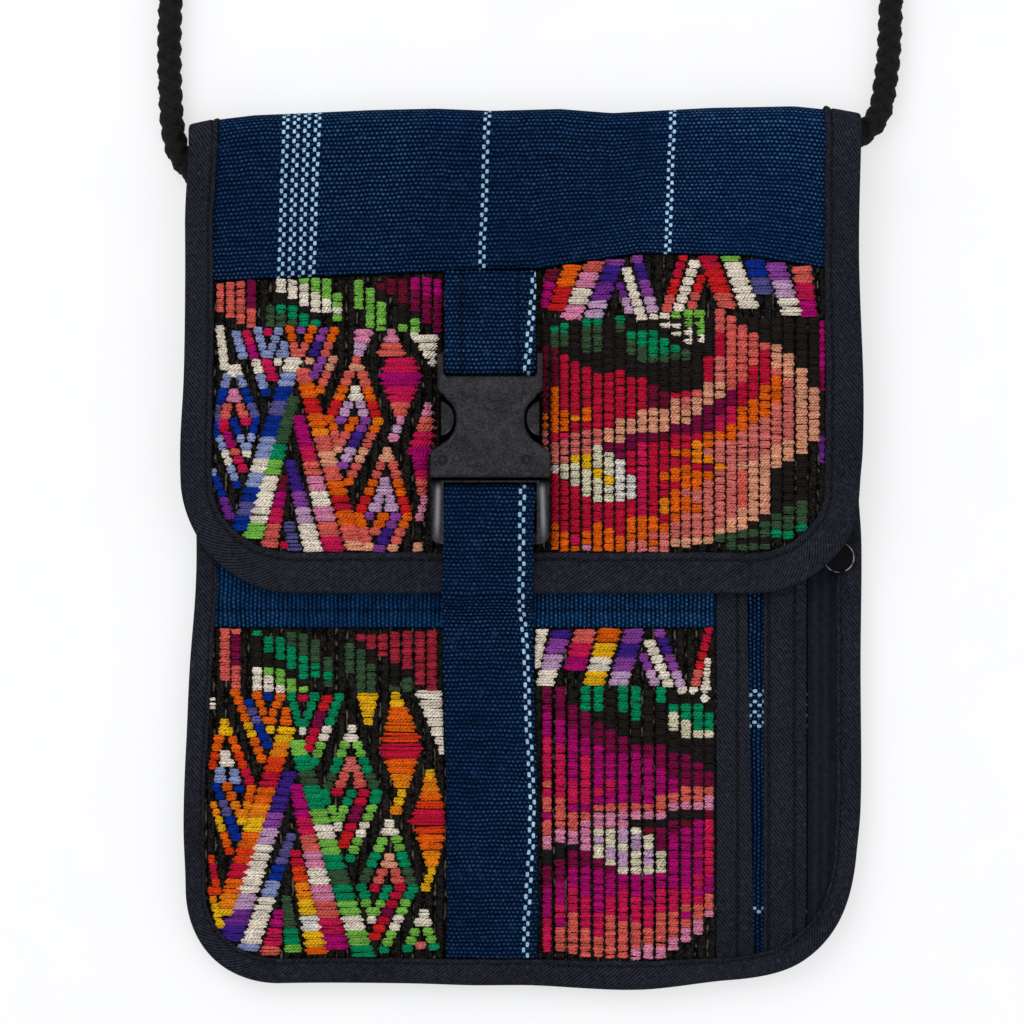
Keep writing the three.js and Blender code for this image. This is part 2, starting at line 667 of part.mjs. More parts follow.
// The socket: a shell with a strap bar on top, scalloped sides and a room that opens downwards
function buckleSocket() {
  const { bottom, top, half, neck, waist } = SOCKET;
  const { corner, round } = SOCKET_EDGE;
  const plan = mirrored([
    [0, bottom],
    ...bend([half - corner, bottom], [half, bottom + corner], true),
    ...bend([half, SOCKET_WINDOW.from - 1], [waist + 1.5, SOCKET_WINDOW.waistAt - 3], false),
    [waist, SOCKET_WINDOW.waistAt],
    ...bend([waist + 0.3, SOCKET_WINDOW.waistAt + 2], [neck, SOCKET_WINDOW.to], false),
    ...bend([neck, top - corner], [neck - corner, top], false),
  ]);
  const bevel = {
    bevelEnabled: true,
    bevelSize: round,
    bevelOffset: -round,
    bevelThickness: round,
    bevelSegments: 2,
  };
  const body = solidOf(raised(plan, SOCKET_LOW + round, SOCKET_HIGH - round, bevel));
  const aboveBar = BAR_LOW + BAR.height;
  const side = outline([
    [bottom, SOCKET_LOW],
    [SOCKET_SIDE.liftFrom, SOCKET_LOW],
    [SOCKET_SIDE.liftTo, BAR_LOW - SOCKET_SIDE.barRim],
    [top, BAR_LOW - SOCKET_SIDE.barRim],
    [top, aboveBar + SOCKET_SIDE.barRim],
    [SOCKET_SLOT.to, aboveBar + SOCKET_SIDE.slotRim],
    [SOCKET_SLOT.from, SOCKET_HIGH - SOCKET_SIDE.slotDrop],
    [SOCKET_SIDE.slope, SOCKET_HIGH - SOCKET_SIDE.slopeDrop],
    [SOCKET_SIDE.flat, SOCKET_HIGH],
    [bottom, SOCKET_HIGH - round],
  ]);
  const cuts = [
    block(SOCKET_SLOT.half, SOCKET_SLOT.from, SOCKET_SLOT.to, SOCKET_LOW - CUT_OVER, SOCKET_HIGH + CUT_OVER),
    block(SOCKET_SLOT.half, SOCKET_SLOT.to, top + CUT_OVER, aboveBar, SOCKET_HIGH + CUT_OVER),
    block(SOCKET_SLOT.half, SOCKET_SLOT.to, top + CUT_OVER, SOCKET_LOW - CUT_OVER, BAR_LOW),
    block(half - SOCKET.wall, bottom - CUT_OVER, SOCKET_ROOM.top, ROOM_LOW, ROOM_HIGH),
    ...[SOCKET_DIMPLE.left, SOCKET_DIMPLE.right].map((x) => {
      const { radius, depth, y } = SOCKET_DIMPLE;
      const dimple = new THREE.CylinderGeometry(radius, radius, CUT_OVER, 12).rotateX(Math.PI / 2);
      return solidOf(dimple.translate(STRAP_X + x, y, SOCKET_HIGH - depth + CUT_OVER / 2));
    }),
  ];
  const shaped = body.intersect(solidOf(across(side, 2 * half + 2)));
  return geometryOf(cuts.reduce((solid, cut) => solid.subtract(cut), shaped));
}

// The prong: a frame with two bars for the strap, and a tongue with a guide and two side tabs in the socket
function buckleProng() {
  const { bottom, top, half, corner, bar, slotTop, endBar } = PRONG;
  const frame = mirrored([
    [0, bottom],
    ...bend([half - corner, bottom], [half, bottom + corner], true),
    ...bend([half, top - 1], [half - 1, top], false),
  ]);
  const low = ROOM_LOW + GAP;
  const high = ROOM_HIGH - GAP;
  const reach = PRONG_REACH;
  const tongue = block(reach.half, slotTop, reach.tongue, low, high);
  const guide = block(reach.guide, slotTop, reach.guideTop, low, high);
  const tab = mirrored([
    [reach.tabInner, reach.tongue - 1],
    [reach.half, reach.tongue - 1],
    [reach.half, SOCKET_WINDOW.to - 1],
    ...bend([reach.half, SOCKET_WINDOW.to - 1], [reach.half - 2, reach.tabTop], false),
    [reach.tabInner, reach.tabTop],
  ]);
  const tabs = solidOf(raised(tab, low, high)).subtract(
    block(reach.tabInner, reach.tongue, reach.tabTop + 1, low - 1, high + 1),
  );
  const slots = [
    block(SOCKET_SLOT.half, bar + BAR.half, slotTop, low - CUT_OVER, high + CUT_OVER),
    block(SOCKET_SLOT.half, bottom + endBar, bar - BAR.half, low - CUT_OVER, high + CUT_OVER),
    block(SOCKET_SLOT.half, bottom - CUT_OVER, slotTop, low - CUT_OVER, BAR_LOW),
    block(SOCKET_SLOT.half, bottom - CUT_OVER, slotTop, BAR_LOW + BAR.height, high + CUT_OVER),
  ];
  const frameSolid = solidOf(raised(frame, BAR_LOW - PRONG_FRAME.below, high - PRONG_FRAME.under));
  const opened = slots.reduce((solid, slot) => solid.subtract(slot), frameSolid);
  return geometryOf(opened.add(tongue).add(guide).add(tabs));
}

// A round dished pull on a short tab that goes up under the flap
function zipPull() {
  const { x, y, radius, rim, thick, dish, tab, tabTop } = ZIP_PULL;
  const low = EDGE_TOP + REST_GAP;
  const disc = new THREE.CylinderGeometry(radius, radius, thick, 24).rotateX(Math.PI / 2);
  const hollow = new THREE.CylinderGeometry(radius - rim, radius - rim, 2 * dish, 24).rotateX(Math.PI / 2);
  const strip = new THREE.BoxGeometry(tab, tabTop - y - radius + rim, thick);
  const stripY = (tabTop + y + radius - rim) / 2;
  const plate = solidOf(disc.translate(x, y, low + thick / 2)).add(
    solidOf(strip.translate(x, stripY, low + thick / 2)),
  );
  return geometryOf(plate.subtract(solidOf(hollow.translate(x, y, low + thick))));
}

function neckCord() {
  const points = CORD_ROUTE.map(({ x, y }) => new THREE.Vector3(x, y, CORD_Z));
  const path = new THREE.CatmullRomCurve3(points, false, "centripetal");
  const section = new THREE.Shape(
    Array.from({ length: CORD_SIDES }, (_, k) => {
      const angle = (2 * Math.PI * k) / CORD_SIDES;
      return new THREE.Vector2(CORD_RADIUS * Math.cos(angle), CORD_RADIUS * Math.sin(angle));
    }),
  );
  return new THREE.ExtrudeGeometry(section, { steps: CORD_STEPS, extrudePath: path });
}

// Finishes
const finish = (color, roughness) => new THREE.MeshStandardMaterial({ color, roughness, metalness: 0 });
const indigo = finish(0x16305c, 0.9);
const brocadeRed = finish(0xb5482f, 0.8);
const brocadeMagenta = finish(0xa4336e, 0.8);
const blackTwill = finish(0x26262c, 0.9);
const blackTape = finish(0x1c1c22, 0.9);
const blackCord = finish(0x151314, 0.85);
const blackPlastic = finish(0x302e30, 0.55);
const blackGloss = finish(0x101014, 0.3);

const bag = new THREE.Group();

function addPiece(name, geometry, material) {
  const mesh = new THREE.Mesh(geometry, material);
  mesh.name = name;
  bag.add(mesh);
}

const { front, pocket } = LAYER;
addPiece("back_and_flap", backAndFlap(), indigo);
addPiece("flap_panel", flapPanel(), brocadeRed);
addPiece("flap_binding", flapBinding(), blackTwill);
addPiece("front_panel", pouchSheet({ layer: front, thick: CLOTH, top: MOUTH_Y }), indigo);
addPiece(
  "front_pocket",
  pouchSheet({ layer: pocket, thick: CLOTH, right: POCKET_RIGHT, top: HEM.bottom - GAP }),
  brocadeMagenta,
);
addPiece(
  "pocket_hem",
  pouchSheet({ layer: pocket, thick: HEM_CLOTH, right: POCKET_RIGHT, bottom: HEM.bottom, top: HEM.top }),
  indigo,
);
addPiece(
  "pocket_side_tape",
  pouchSheet({ layer: pocket, thick: CLOTH, ...POCKET_TAPE, top: HEM.top }),
  blackTwill,
);
addPiece("zip_band", pouchSheet({ layer: pocket, thick: TAPE, ...ZIP_BAND, top: ZIP_TOP }), blackTwill);
addPiece("zip_tape", pouchSheet({ layer: pocket, thick: TAPE, ...ZIP_TAPE, top: ZIP_TOP }), blackTape);
addPiece("zip_pull", zipPull(), blackGloss);
addPiece("pouch_binding", pouchBinding(), blackTwill);
addPiece("upper_strap", upperStrap(), indigo);
addPiece("lower_strap", lowerStrap(), indigo);
addPiece("buckle_socket", buckleSocket(), blackPlastic);
addPiece("buckle_prong", buckleProng(), blackPlastic);
addPiece("neck_cord", neckCord(), blackCord);

export default bag;
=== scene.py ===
"""A travel document bag of indigo cloth and brocade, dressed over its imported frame."""
import math

import bpy
import numpy as np
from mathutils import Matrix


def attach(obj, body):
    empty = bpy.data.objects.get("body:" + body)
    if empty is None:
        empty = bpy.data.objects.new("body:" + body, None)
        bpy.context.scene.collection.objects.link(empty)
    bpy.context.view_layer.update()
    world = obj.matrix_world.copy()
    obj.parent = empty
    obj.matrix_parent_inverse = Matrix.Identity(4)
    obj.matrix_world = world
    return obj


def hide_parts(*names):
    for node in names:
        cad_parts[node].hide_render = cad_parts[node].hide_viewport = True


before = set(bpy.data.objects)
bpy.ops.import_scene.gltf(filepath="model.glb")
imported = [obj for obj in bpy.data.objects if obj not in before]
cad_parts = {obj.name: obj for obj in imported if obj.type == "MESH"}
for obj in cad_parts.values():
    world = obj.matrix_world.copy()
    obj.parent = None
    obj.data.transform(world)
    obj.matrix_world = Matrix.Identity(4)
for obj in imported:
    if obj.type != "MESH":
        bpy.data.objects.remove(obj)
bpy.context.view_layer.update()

bl_info = {
    "name": "Travel document bag",
    "version": (1, 0, 0),
    "blender": (4, 5, 0),
    "location": "View3D > Sidebar > Bag",
    "description": "Cloth, brocade, tapes, buckle and cord of a travel document bag",
    "category": "Object",
}

MM = 0.001
TURN = 2 * math.pi

# Sizes of the bag in millimetres
SIDE = 90.0
BOTTOM = -116.5
POUCH_CORNER = (26.0, 35.0)
FLAP_BOTTOM = -12.0
FLAP_CORNER = (30.0, 29.0)
MOUTH = 99.0
CLOTH = 1.2
HEM_CLOTH = 1.6
TAPE = 1.0
GAP = 0.3
EDGE_INSET = 1.5
TAPE_WEB = 1.2
POUCH_WING = (5.6, 6.6, 7.2)
FLAP_WING = (8.0, 9.7, 10.8)
BACK = (1.3, 0.0)
FRONT = (2.8, 6.2)
POCKET = (4.3, 7.7)
EDGE_TOP = 6.8
FLAP_REST = (7.15, 9.65)
FLAP_MID = 1.9
FLAP_TOP = 12.15
FOLD_REACH = 5.2
FOLD_X = (-90, -81, -80, -71, -40, -23, -8, 10, 24, 50, 72, 80, 82, 90)
FOLD_Y = (110.8, 112.5, 113.7, 114.8, 116.2, 116.6, 116.0, 116.5, 115.4, 116.8, 117.2, 116.4, 115.4, 114.0)
FOLD_LINE = 105.8
LEFT_LINE = ((-112, 0), (-91, 0.6), (-75, 0), (-51, -0.5), (-30, -1), (-2, 0), (26, -0.6), (47, 0.4),
             (90, 0.7), (118, 0))
RIGHT_LINE = ((-112, 0), (-87, -1.4), (-69, 0), (-30, 0), (2, 0.2), (15, -0.5), (26, 0.3), (42, 0.5),
              (79, -0.7), (118, 0))
BASE_LINE = ((-84, 0), (-62, 0.9), (-30, 0.8), (-13, 0.3), (2, 0.3), (31, -0.9), (58, 1.8), (74, 0.7),
             (86, 0))
SEWN_FADE = 13.0
FLAP_COVERS = (-15.0, 15.0)
FLAP_SPAN = (-86.8, 175.3)
STRIPE_SLANT = (0.035, 225.0)
SEAM_X = (-90, -80, -21, 4, 31, 60, 79, 90)
SEAM_Y = (70.2, 70.6, 73.0, 73.6, 77.8, 77.2, 74.2, 73.0)
HEM_LINES = (-21.0, 2.0)
HEM_SEAM = -16.4
POCKET_RIGHT = 51.2
POCKET_TAPE = (51.5, 59.4)
POCKET_TAPE_SEAMS = (57.1,)
ZIP_BAND = (64.1, 75.5)
ZIP_BAND_SEAMS = (65.4, 72.3)
ZIP_TAPE_LEFT = 75.8
ZIP_TOP = 96.0
STRAP_X = -8.4
STRAP_HALF = 12.0
STRAP_SEAMS = (-7.6, 7.3)
STRAP_Y = (-110, -97, -80, -67, -51, -30, -14, 8, 49, 60, 71)
STRAP_SWAY = (0.4, 0.5, 0.5, 0.5, 0, -0.5, -0.8, -0.3, 0, 0, 0)
STRIPE_SWAY = (-0.5, -0.4, 1, 1.2, 0.9, 0.7, -0.5, -0.9, 0, 1, 1.6)
STRAP = 1.1
STRAP_LOW = FLAP_TOP + GAP
BAR_HEIGHT = 2.6
BAR_MIDDLE = STRAP_LOW + STRAP + GAP + BAR_HEIGHT / 2
STRAP_HIGH = STRAP_LOW + STRAP + 2 * GAP + BAR_HEIGHT
LOOP_REACH = (2.7, BAR_HEIGHT / 2 + GAP + STRAP / 2)
SOCKET_BAR = 50.5
PRONG_BAR = 13.8
BUCKLE_COVERS = (16.4, 0.6, 52.0)
DIMPLES = ((-20.9, 23.1), (1.1, 23.3))
PULL_MIDDLE = (84.0, -2.5)
CORD_Z = 3.7
CORD_PITCH = 12.3
STRAND_REACH = (1.9, 0.36)
STRAND_HALF = (1.8, 1.18)
CORE_RADIUS = 2.4
CORD_X = (-86.9, -89.2, -91.5, -92.8, -93.3, -93.7, -93.4, -92.6, -92, -92, -91, -83, -61, -39, -30,
          -30, -30, -30, -21, 1, 23, 32, 32, 32, 32, 41, 64, 87, 96, 97, 97.8, 98.2, 98, 97.4, 96.6,
          95.4, 93.7, 91.3, 88.8)
CORD_Y = (99.4, 101.8, 105.6, 111.6, 118.2, 131.7, 145.2, 175, 215, 260, 305, 327, 336, 327, 305,
          262, 220, 190, 168, 159, 168, 190, 220, 262, 305, 327, 336, 327, 305, 260, 215, 175, 145.2,
          130.9, 124, 116.9, 113.2, 110.9, 108.8)

# Slow changes: an amount, where it begins and the run that it takes
WAIST = (3.5, -80.0, 70.0)
FLAP_TAPER = (1.7, 85.0, 28.0)
FLAP_RISE = (2.5, 72.0, 32.0)
PALER_RIGHT = (0.38, 0.0, 85.0)
PALER_FOLD = (0.12, 106.0, 8.0)

# Others: where it begins and its run, or an amount, its middle and how far it spreads
PUFF = (9.8, 16.0)
SHOULDER = (40.0, 50.0)
SHOULDER_IN = (2.5, 5.0)
CORNER_LIFT = (1.9, 84.0, 16.0)

# Dyes, as screen colours
DYES = {
    "black": (34, 29, 27), "coral": (226, 100, 88), "salmon": (222, 116, 106), "peach": (236, 165, 130),
    "crimson": (200, 20, 56), "hotpink": (214, 26, 84), "red": (218, 32, 36), "maroon": (112, 16, 44),
    "wine": (128, 10, 66), "orange": (242, 104, 14), "amber": (248, 142, 22), "redorange": (230, 66, 18),
    "yellow": (242, 188, 22), "cream": (246, 236, 214), "white": (228, 226, 214), "lime": (124, 194, 76),
    "bone": (230, 224, 190), "garnet": (172, 41, 60),
    "emerald": (0, 146, 94), "moss": (58, 88, 58), "blue": (4, 48, 150), "slate": (92, 88, 148),
    "periwinkle": (146, 160, 206), "violet": (64, 34, 136), "purple": (112, 44, 142),
    "orchid": (146, 70, 162), "lilac": (204, 166, 202), "pink": (226, 138, 172), "magenta": (182, 6, 112),
}


def screen(colour):
    """Linear light of a screen colour."""
    share = np.asarray(colour, float) / 255
    return np.where(share <= 0.04045, share / 12.92, ((share + 0.055) / 1.055) ** 2.4)


# Shape of the bag
def ease(value, start, run):
    """Goes from 0 to 1 over a run, flat at both ends."""
    share = np.clip((value - start) / run, 0, 1)
    return share * share * (3 - 2 * share)


def eased(change, place):
    """An amount that comes in over its run."""
    amount, start, run = change
    return amount * ease(place, start, run)


def mix(low, high, share):
    """A value this share of the way from one to another."""
    return low + (high - low) * share


def fuller(wave, power):
    """A wave made fuller, towards a square one, by a power below one."""
    return np.sign(wave) * np.abs(wave) ** power


def puff(distance):
    """How full the bag is at a distance from its edge."""
    return ease(distance, *PUFF)


def waver(along, seed, lengths=(37, 19, 8.3)):
    """A gentle unevenness of about one unit along a line: a few waves with phases from a seed."""
    phases = np.random.default_rng(seed).uniform(0, TURN, len(lengths))
    return sum(np.sin(TURN * along / length + phase) for length, phase in zip(lengths, phases)) / len(lengths)


def corner_step(y, bottom, radius, inset):
    """How far a round corner of a radius moves the edge in at a height."""
    below = np.maximum(0, bottom + radius - y)
    return radius - np.sqrt(np.maximum(0, (radius - inset) ** 2 - below ** 2))


def pouch_edge(y, inset=0.0):
    """The pouch's left and right edges at a height."""
    shoulder = ease(y, *SHOULDER)
    waist = eased(WAIST, y)
    left = -SIDE + waist + SHOULDER_IN[0] * shoulder + corner_step(y, BOTTOM, POUCH_CORNER[0], inset)
    return left, SIDE - SHOULDER_IN[1] * shoulder - corner_step(y, BOTTOM, POUCH_CORNER[1], inset)


def flap_edge(y, inset=0.0):
    """The flap's left and right edges at a height."""
    left = -SIDE + eased(FLAP_TAPER, y) + corner_step(y, FLAP_BOTTOM, FLAP_CORNER[0], inset)
    return left, SIDE - corner_step(y, FLAP_BOTTOM, FLAP_CORNER[1], inset)


def corner_distance(side, base, radius):
    """Distance from an outline with a round corner, for a point this far from its side and base."""
    return radius - np.hypot(np.maximum(0, radius - side), np.maximum(0, radius - base))


def pouch_puff(x, y):
    """How full the pouch is at a place."""
    left, right = pouch_edge(np.maximum(y, BOTTOM + POUCH_CORNER[1]))
    return puff(np.minimum(corner_distance(x - left, y - BOTTOM, POUCH_CORNER[0]),
                           corner_distance(right - x, y - BOTTOM, POUCH_CORNER[1])))


def layer_height(layer, x, y):
    """Height of a layer's lower face, between its edge and its middle."""
    return mix(layer[0], layer[1], pouch_puff(x, y))


def flap_height(x, y):
    """Height of the middle of the flap's cloth."""
    swell = puff(x + SIDE) * puff(SIDE - x)
    amount, middle, spread = CORNER_LIFT
    lift = amount * np.exp(-((x - middle) ** 2 + y ** 2) / spread ** 2) * (1 - swell)
    return mix(FLAP_REST[0] + eased(FLAP_RISE, y), FLAP_REST[1], swell) + lift + FLAP_MID


def fold_start(x):
    """Where the cloth begins to turn over, a little below the fold's own line."""
    return np.interp(x, FOLD_X, FOLD_Y) - FOLD_REACH - CLOTH / 2


def fold_share(turn):
    """How much of the change from the pouch's width to the flap's is done at a turn of the fold."""
    return ease(turn, -math.pi / 2, 1.5)


def shell(zone, x, along, out):
    """A point of the cloth that runs up the back, round the fold and down the flap, moved outwards."""
    if zone == "back":
        return np.stack(np.broadcast_arrays(x, along, layer_height(BACK, x, along) + CLOTH / 2 - out), -1)
    if zone == "flap":
        return np.stack(np.broadcast_arrays(x, along, flap_height(x, along) + out), -1)
    start = fold_start(x)
    low = layer_height(BACK, x, start) + CLOTH / 2
    high = flap_height(x, start)
    y = start + (FOLD_REACH + out) * np.cos(along)
    z = (low + high) / 2 + ((high - low) / 2 + out) * np.sin(along)
    return np.stack(np.broadcast_arrays(x, y, z), -1)


# Closed surfaces
class Solid:
    """Points, faces by their corner count, and for each point a flat place in millimetres and a colour."""

    def __init__(self, points, faces, flat=None, colour=None):
        self.points = points.reshape(-1, 3)
        self.faces = [face for face in faces if len(face)]
        self.flat = None if flat is None else flat.reshape(-1, 2)
        self.colour = None if colour is None else colour.reshape(-1, 3)

    def outward(self):
        """The same surface, with its faces turned over if it encloses a negative volume."""
        fans = [face[:, [0, k, k + 1]] for face in self.faces for k in range(1, face.shape[1] - 1)]
        a, b, c = (self.points[np.concatenate(fans)[:, k]] for k in range(3))
        if np.einsum("ij,ij->", a, np.cross(b, c)) < 0:
            self.faces = [face[:, ::-1] for face in self.faces]
        return self


def joined(solids):
    """Several solids as one."""
    starts = np.cumsum([0] + [len(solid.points) for solid in solids[:-1]])
    faces = [face + start for solid, start in zip(solids, starts) for face in solid.faces]
    flat = None if solids[0].flat is None else np.concatenate([solid.flat for solid in solids])
    colour = None if solids[0].colour is None else np.concatenate([solid.colour for solid in solids])
    return Solid(np.concatenate([solid.points for solid in solids]), faces, flat, colour)


def quads(index):
    """Faces of a grid of point numbers."""
    return np.stack([index[:-1, :-1], index[:-1, 1:], index[1:, 1:], index[1:, :-1]], -1).reshape(-1, 4)


def wall(upper, lower, flat, shade=None):
    """A wall between two surfaces with the same grid of rows and columns, closed round its rim."""
    rows, columns = upper.shape[:2]
    top = np.arange(rows * columns).reshape(rows, columns)
    low = top + rows * columns
    rim = np.concatenate([top[0, :-1], top[:-1, -1], top[-1, :0:-1], top[:0:-1, 0]])
    after = np.roll(rim, -1)
    edge = np.stack([rim, rim + rows * columns, after + rows * columns, after], -1)
    colour = None if shade is None else np.repeat(np.stack([shade, np.ones_like(shade)])[..., None], 3, -1)
    faces = [quads(top), quads(low)[:, ::-1], edge]
    return Solid(np.stack([upper, lower]), faces, np.stack([flat, flat]), colour).outward()


def sweep(rings, flat=None):
    """Closed rings carried through stations, any number of such bodies at once, with flat ends."""
    bodies, stations, sides = rings.shape[:3]
    index = np.arange(bodies * stations * sides).reshape(bodies, stations, sides)
    around = np.roll(index, -1, 2)
    side = np.stack([index[:, :-1], around[:, :-1], around[:, 1:], index[:, 1:]], -1).reshape(-1, 4)
    return Solid(rings, [side, index[:, 0, ::-1], index[:, -1]], flat).outward()


def along_line(points):
    """Distance along a line of points."""
    return np.concatenate([[0], np.cumsum(np.linalg.norm(np.diff(points, axis=0), axis=1))])


def resampled(points, step):
    """Points at even steps along a smooth curve through the given ones."""
    points = np.asarray(points, float)
    knots = np.concatenate([[0], np.cumsum(np.sqrt(np.linalg.norm(np.diff(points, axis=0), axis=1)))])
    slope = np.gradient(points, knots, axis=0)
    fine = np.linspace(0, knots[-1], 24 * len(points))
    k = np.clip(np.searchsorted(knots, fine, "right") - 1, 0, len(points) - 2)
    run = (knots[k + 1] - knots[k])[:, None]
    t = (fine - knots[k])[:, None] / run
    smooth = ((2 * t ** 3 - 3 * t ** 2 + 1) * points[k] + (t ** 3 - 2 * t ** 2 + t) * run * slope[k]
              + (3 * t ** 2 - 2 * t ** 3) * points[k + 1] + (t ** 3 - t ** 2) * run * slope[k + 1])
    place = along_line(smooth)
    even = np.linspace(0, place[-1], max(2, round(place[-1] / step)))
    return np.stack([np.interp(even, place, smooth[:, k]) for k in range(points.shape[1])], -1)


def stitched(line, step=2.7, share=0.74, radius=0.24, rise=0.12):
    """Stitches along a line: short round threads that dip at both ends."""
    place = along_line(line)
    starts = np.arange(step * 0.5, place[-1] - step, step)
    share_along = np.array([0, 0.16, 0.5, 0.84, 1.0])
    at = starts[:, None] + share_along * step * share
    middle = np.stack([np.interp(at, place, line[:, k]) for k in range(3)], -1)
    middle[..., 2] += rise * np.array([-2.6, 0.4, 1, 0.4, -2.6])
    ahead = middle[:, -1:] - middle[:, :1]
    side = np.cross(ahead, [0, 0, 1.0])
    side /= np.linalg.norm(side, axis=-1, keepdims=True)
    turn = np.arange(6) * TURN / 6
    around = side[:, :, None] * np.cos(turn)[:, None] + np.array([0, 0, 1.0]) * np.sin(turn)[:, None]
    return sweep(middle[:, :, None] + radius * around)


def hand_sewn(points):
    """Points moved as the uneven outline of a hand-sewn bag asks.

    Near a side they move sideways by a smooth curve over height, and near the bottom up or down by a smooth
    curve over width. Both fade out inside the even outline.
    """
    x, y, z = points.T
    curves = [resampled(np.array(line, float), 1.0) for line in (LEFT_LINE, RIGHT_LINE, BASE_LINE)]
    left, right, base = (np.interp(place, *curve.T) for place, curve in zip((y, y, x), curves))
    waist = eased(WAIST, y) * (1 - ease(y, *FLAP_COVERS))
    inner = -SIDE + waist + corner_step(y, BOTTOM, POUCH_CORNER[0], 0)
    outer = SIDE - corner_step(y, BOTTOM, POUCH_CORNER[1], 0)
    corners = corner_step(x + SIDE, 0, POUCH_CORNER[0], 0) + corner_step(SIDE - x, 0, POUCH_CORNER[1], 0)
    sideways = left * (1 - ease(x, inner, SEWN_FADE)) + right * (1 - ease(outer - x, 0, SEWN_FADE))
    return np.stack([x + sideways, y + base * (1 - ease(y, BOTTOM + corners, SEWN_FADE)), z], -1)


def make_object(name, solid, material, slot, replaces=()):
    """A smooth mesh object in metres, riding on the bag, that stands for the named solids."""
    points = solid.points if slot == "black_cord" else hand_sewn(solid.points)
    mesh = bpy.data.meshes.new(name)
    sizes = np.concatenate([np.full(len(face), face.shape[1]) for face in solid.faces])
    corners = np.concatenate([face.ravel() for face in solid.faces])
    mesh.vertices.add(len(solid.points))
    mesh.vertices.foreach_set("co", (points * MM).astype(np.float32).ravel())
    mesh.loops.add(len(corners))
    mesh.loops.foreach_set("vertex_index", corners.astype(np.int32))
    mesh.polygons.add(len(sizes))
    mesh.polygons.foreach_set("loop_start", np.concatenate([[0], np.cumsum(sizes)[:-1]]).astype(np.int32))
    mesh.polygons.foreach_set("use_smooth", np.ones(len(sizes), bool))
    if solid.flat is not None:
        layer = mesh.uv_layers.new(name="flat")
        layer.data.foreach_set("uv", solid.flat[corners].astype(np.float32).ravel())
    # Dye attribute: the yarn's dye on threads; elsewhere painted shade in furrows and at edges, paler parts
    # of the back.
    rgba = np.ones((len(solid.points), 4), np.float32)
    if solid.colour is not None:
        rgba[:, :3] = solid.colour
    dye = mesh.attributes.new("dye", "FLOAT_COLOR", "POINT")
    dye.data.foreach_set("color", rgba.ravel())
    mesh.update(calc_edges=True)
    mesh.materials.append(material)
    piece = bpy.data.objects.new(name, mesh)
    bpy.context.scene.collection.objects.link(piece)
    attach(piece, "root")
    if replaces:
        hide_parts(*replaces)
    return piece


# Patterns as sums of node sockets
class Wire:
    """A node socket that can be added, multiplied and compared, so that a pattern reads as a formula."""

    def __init__(self, tree, socket):
        self.tree = tree
        self.socket = socket

    def node(self, kind, *inputs, output=0, named=None, **settings):
        """Any node in the same tree, with this socket first unless inputs are named."""
        made = self.tree.nodes.new(kind)
        for key, value in settings.items():
            setattr(made, key, value)
        places = named if named is not None else dict(enumerate((self, *inputs)))
        for place, value in places.items():
            if isinstance(value, Wire):
                self.tree.links.new(value.socket, made.inputs[place])
            else:
                made.inputs[place].default_value = value
        return Wire(self.tree, made.outputs[output])

    def maths(self, operation, *others):
        """One sum on this socket and others."""
        return self.node("ShaderNodeMath", *others, operation=operation)

    def __add__(self, other):
        return self.maths("ADD", other)

    def __sub__(self, other):
        return self.maths("SUBTRACT", other)

    def __mul__(self, other):
        return self.maths("MULTIPLY", other)

    def __truediv__(self, other):
        return self.maths("DIVIDE", other)

    def __rsub__(self, other):
        return (self * -1) + other

    __radd__ = __add__

    def wave(self, length):
        """A cosine of one unit with a wave length."""
        return (self * (TURN / length)).maths("COSINE")

    def cell(self, length):
        """Share of the way through the cell of this length."""
        return (self / length).maths("FRACT")

    def step(self, start, end):
        """Goes smoothly from 0 at start to 1 at end."""
        places = {"Value": self, "From Min": start, "From Max": end}
        return self.node("ShaderNodeMapRange", named=places, interpolation_type="SMOOTHSTEP")

    def band(self, low, high, soft):
        """One between two values, nought outside."""
        return self.step(low - soft, low + soft) * (1 - self.step(high - soft, high + soft))

    def tint(self, dark, light):
        """A colour between two, by this share."""
        both = {0: self, 6: dark if isinstance(dark, Wire) else (*screen(dark), 1),
                7: light if isinstance(light, Wire) else (*screen(light), 1)}
        return self.node("ShaderNodeMix", named=both, output=2, data_type="RGBA", clamp_factor=True)

    def parts(self):
        """The three numbers of a vector."""
        split = self.node("ShaderNodeSeparateXYZ").socket.node
        return [Wire(self.tree, split.outputs[k]) for k in range(3)]

    def chance(self, other):
        """An even chance from 0 to 1 for each whole step of this number and another."""
        cell = self.maths("FLOOR").node("ShaderNodeCombineXYZ", other.maths("FLOOR"))
        return cell.node("ShaderNodeTexWhiteNoise", noise_dimensions="2D")

    def streaks(self, other, detail=2.0):
        """Soft noise over two numbers, one grain a unit."""
        places = {"Vector": self.node("ShaderNodeCombineXYZ", other), "Scale": 1.0, "Detail": detail}
        return self.node("ShaderNodeTexNoise", named=places, noise_dimensions="2D")


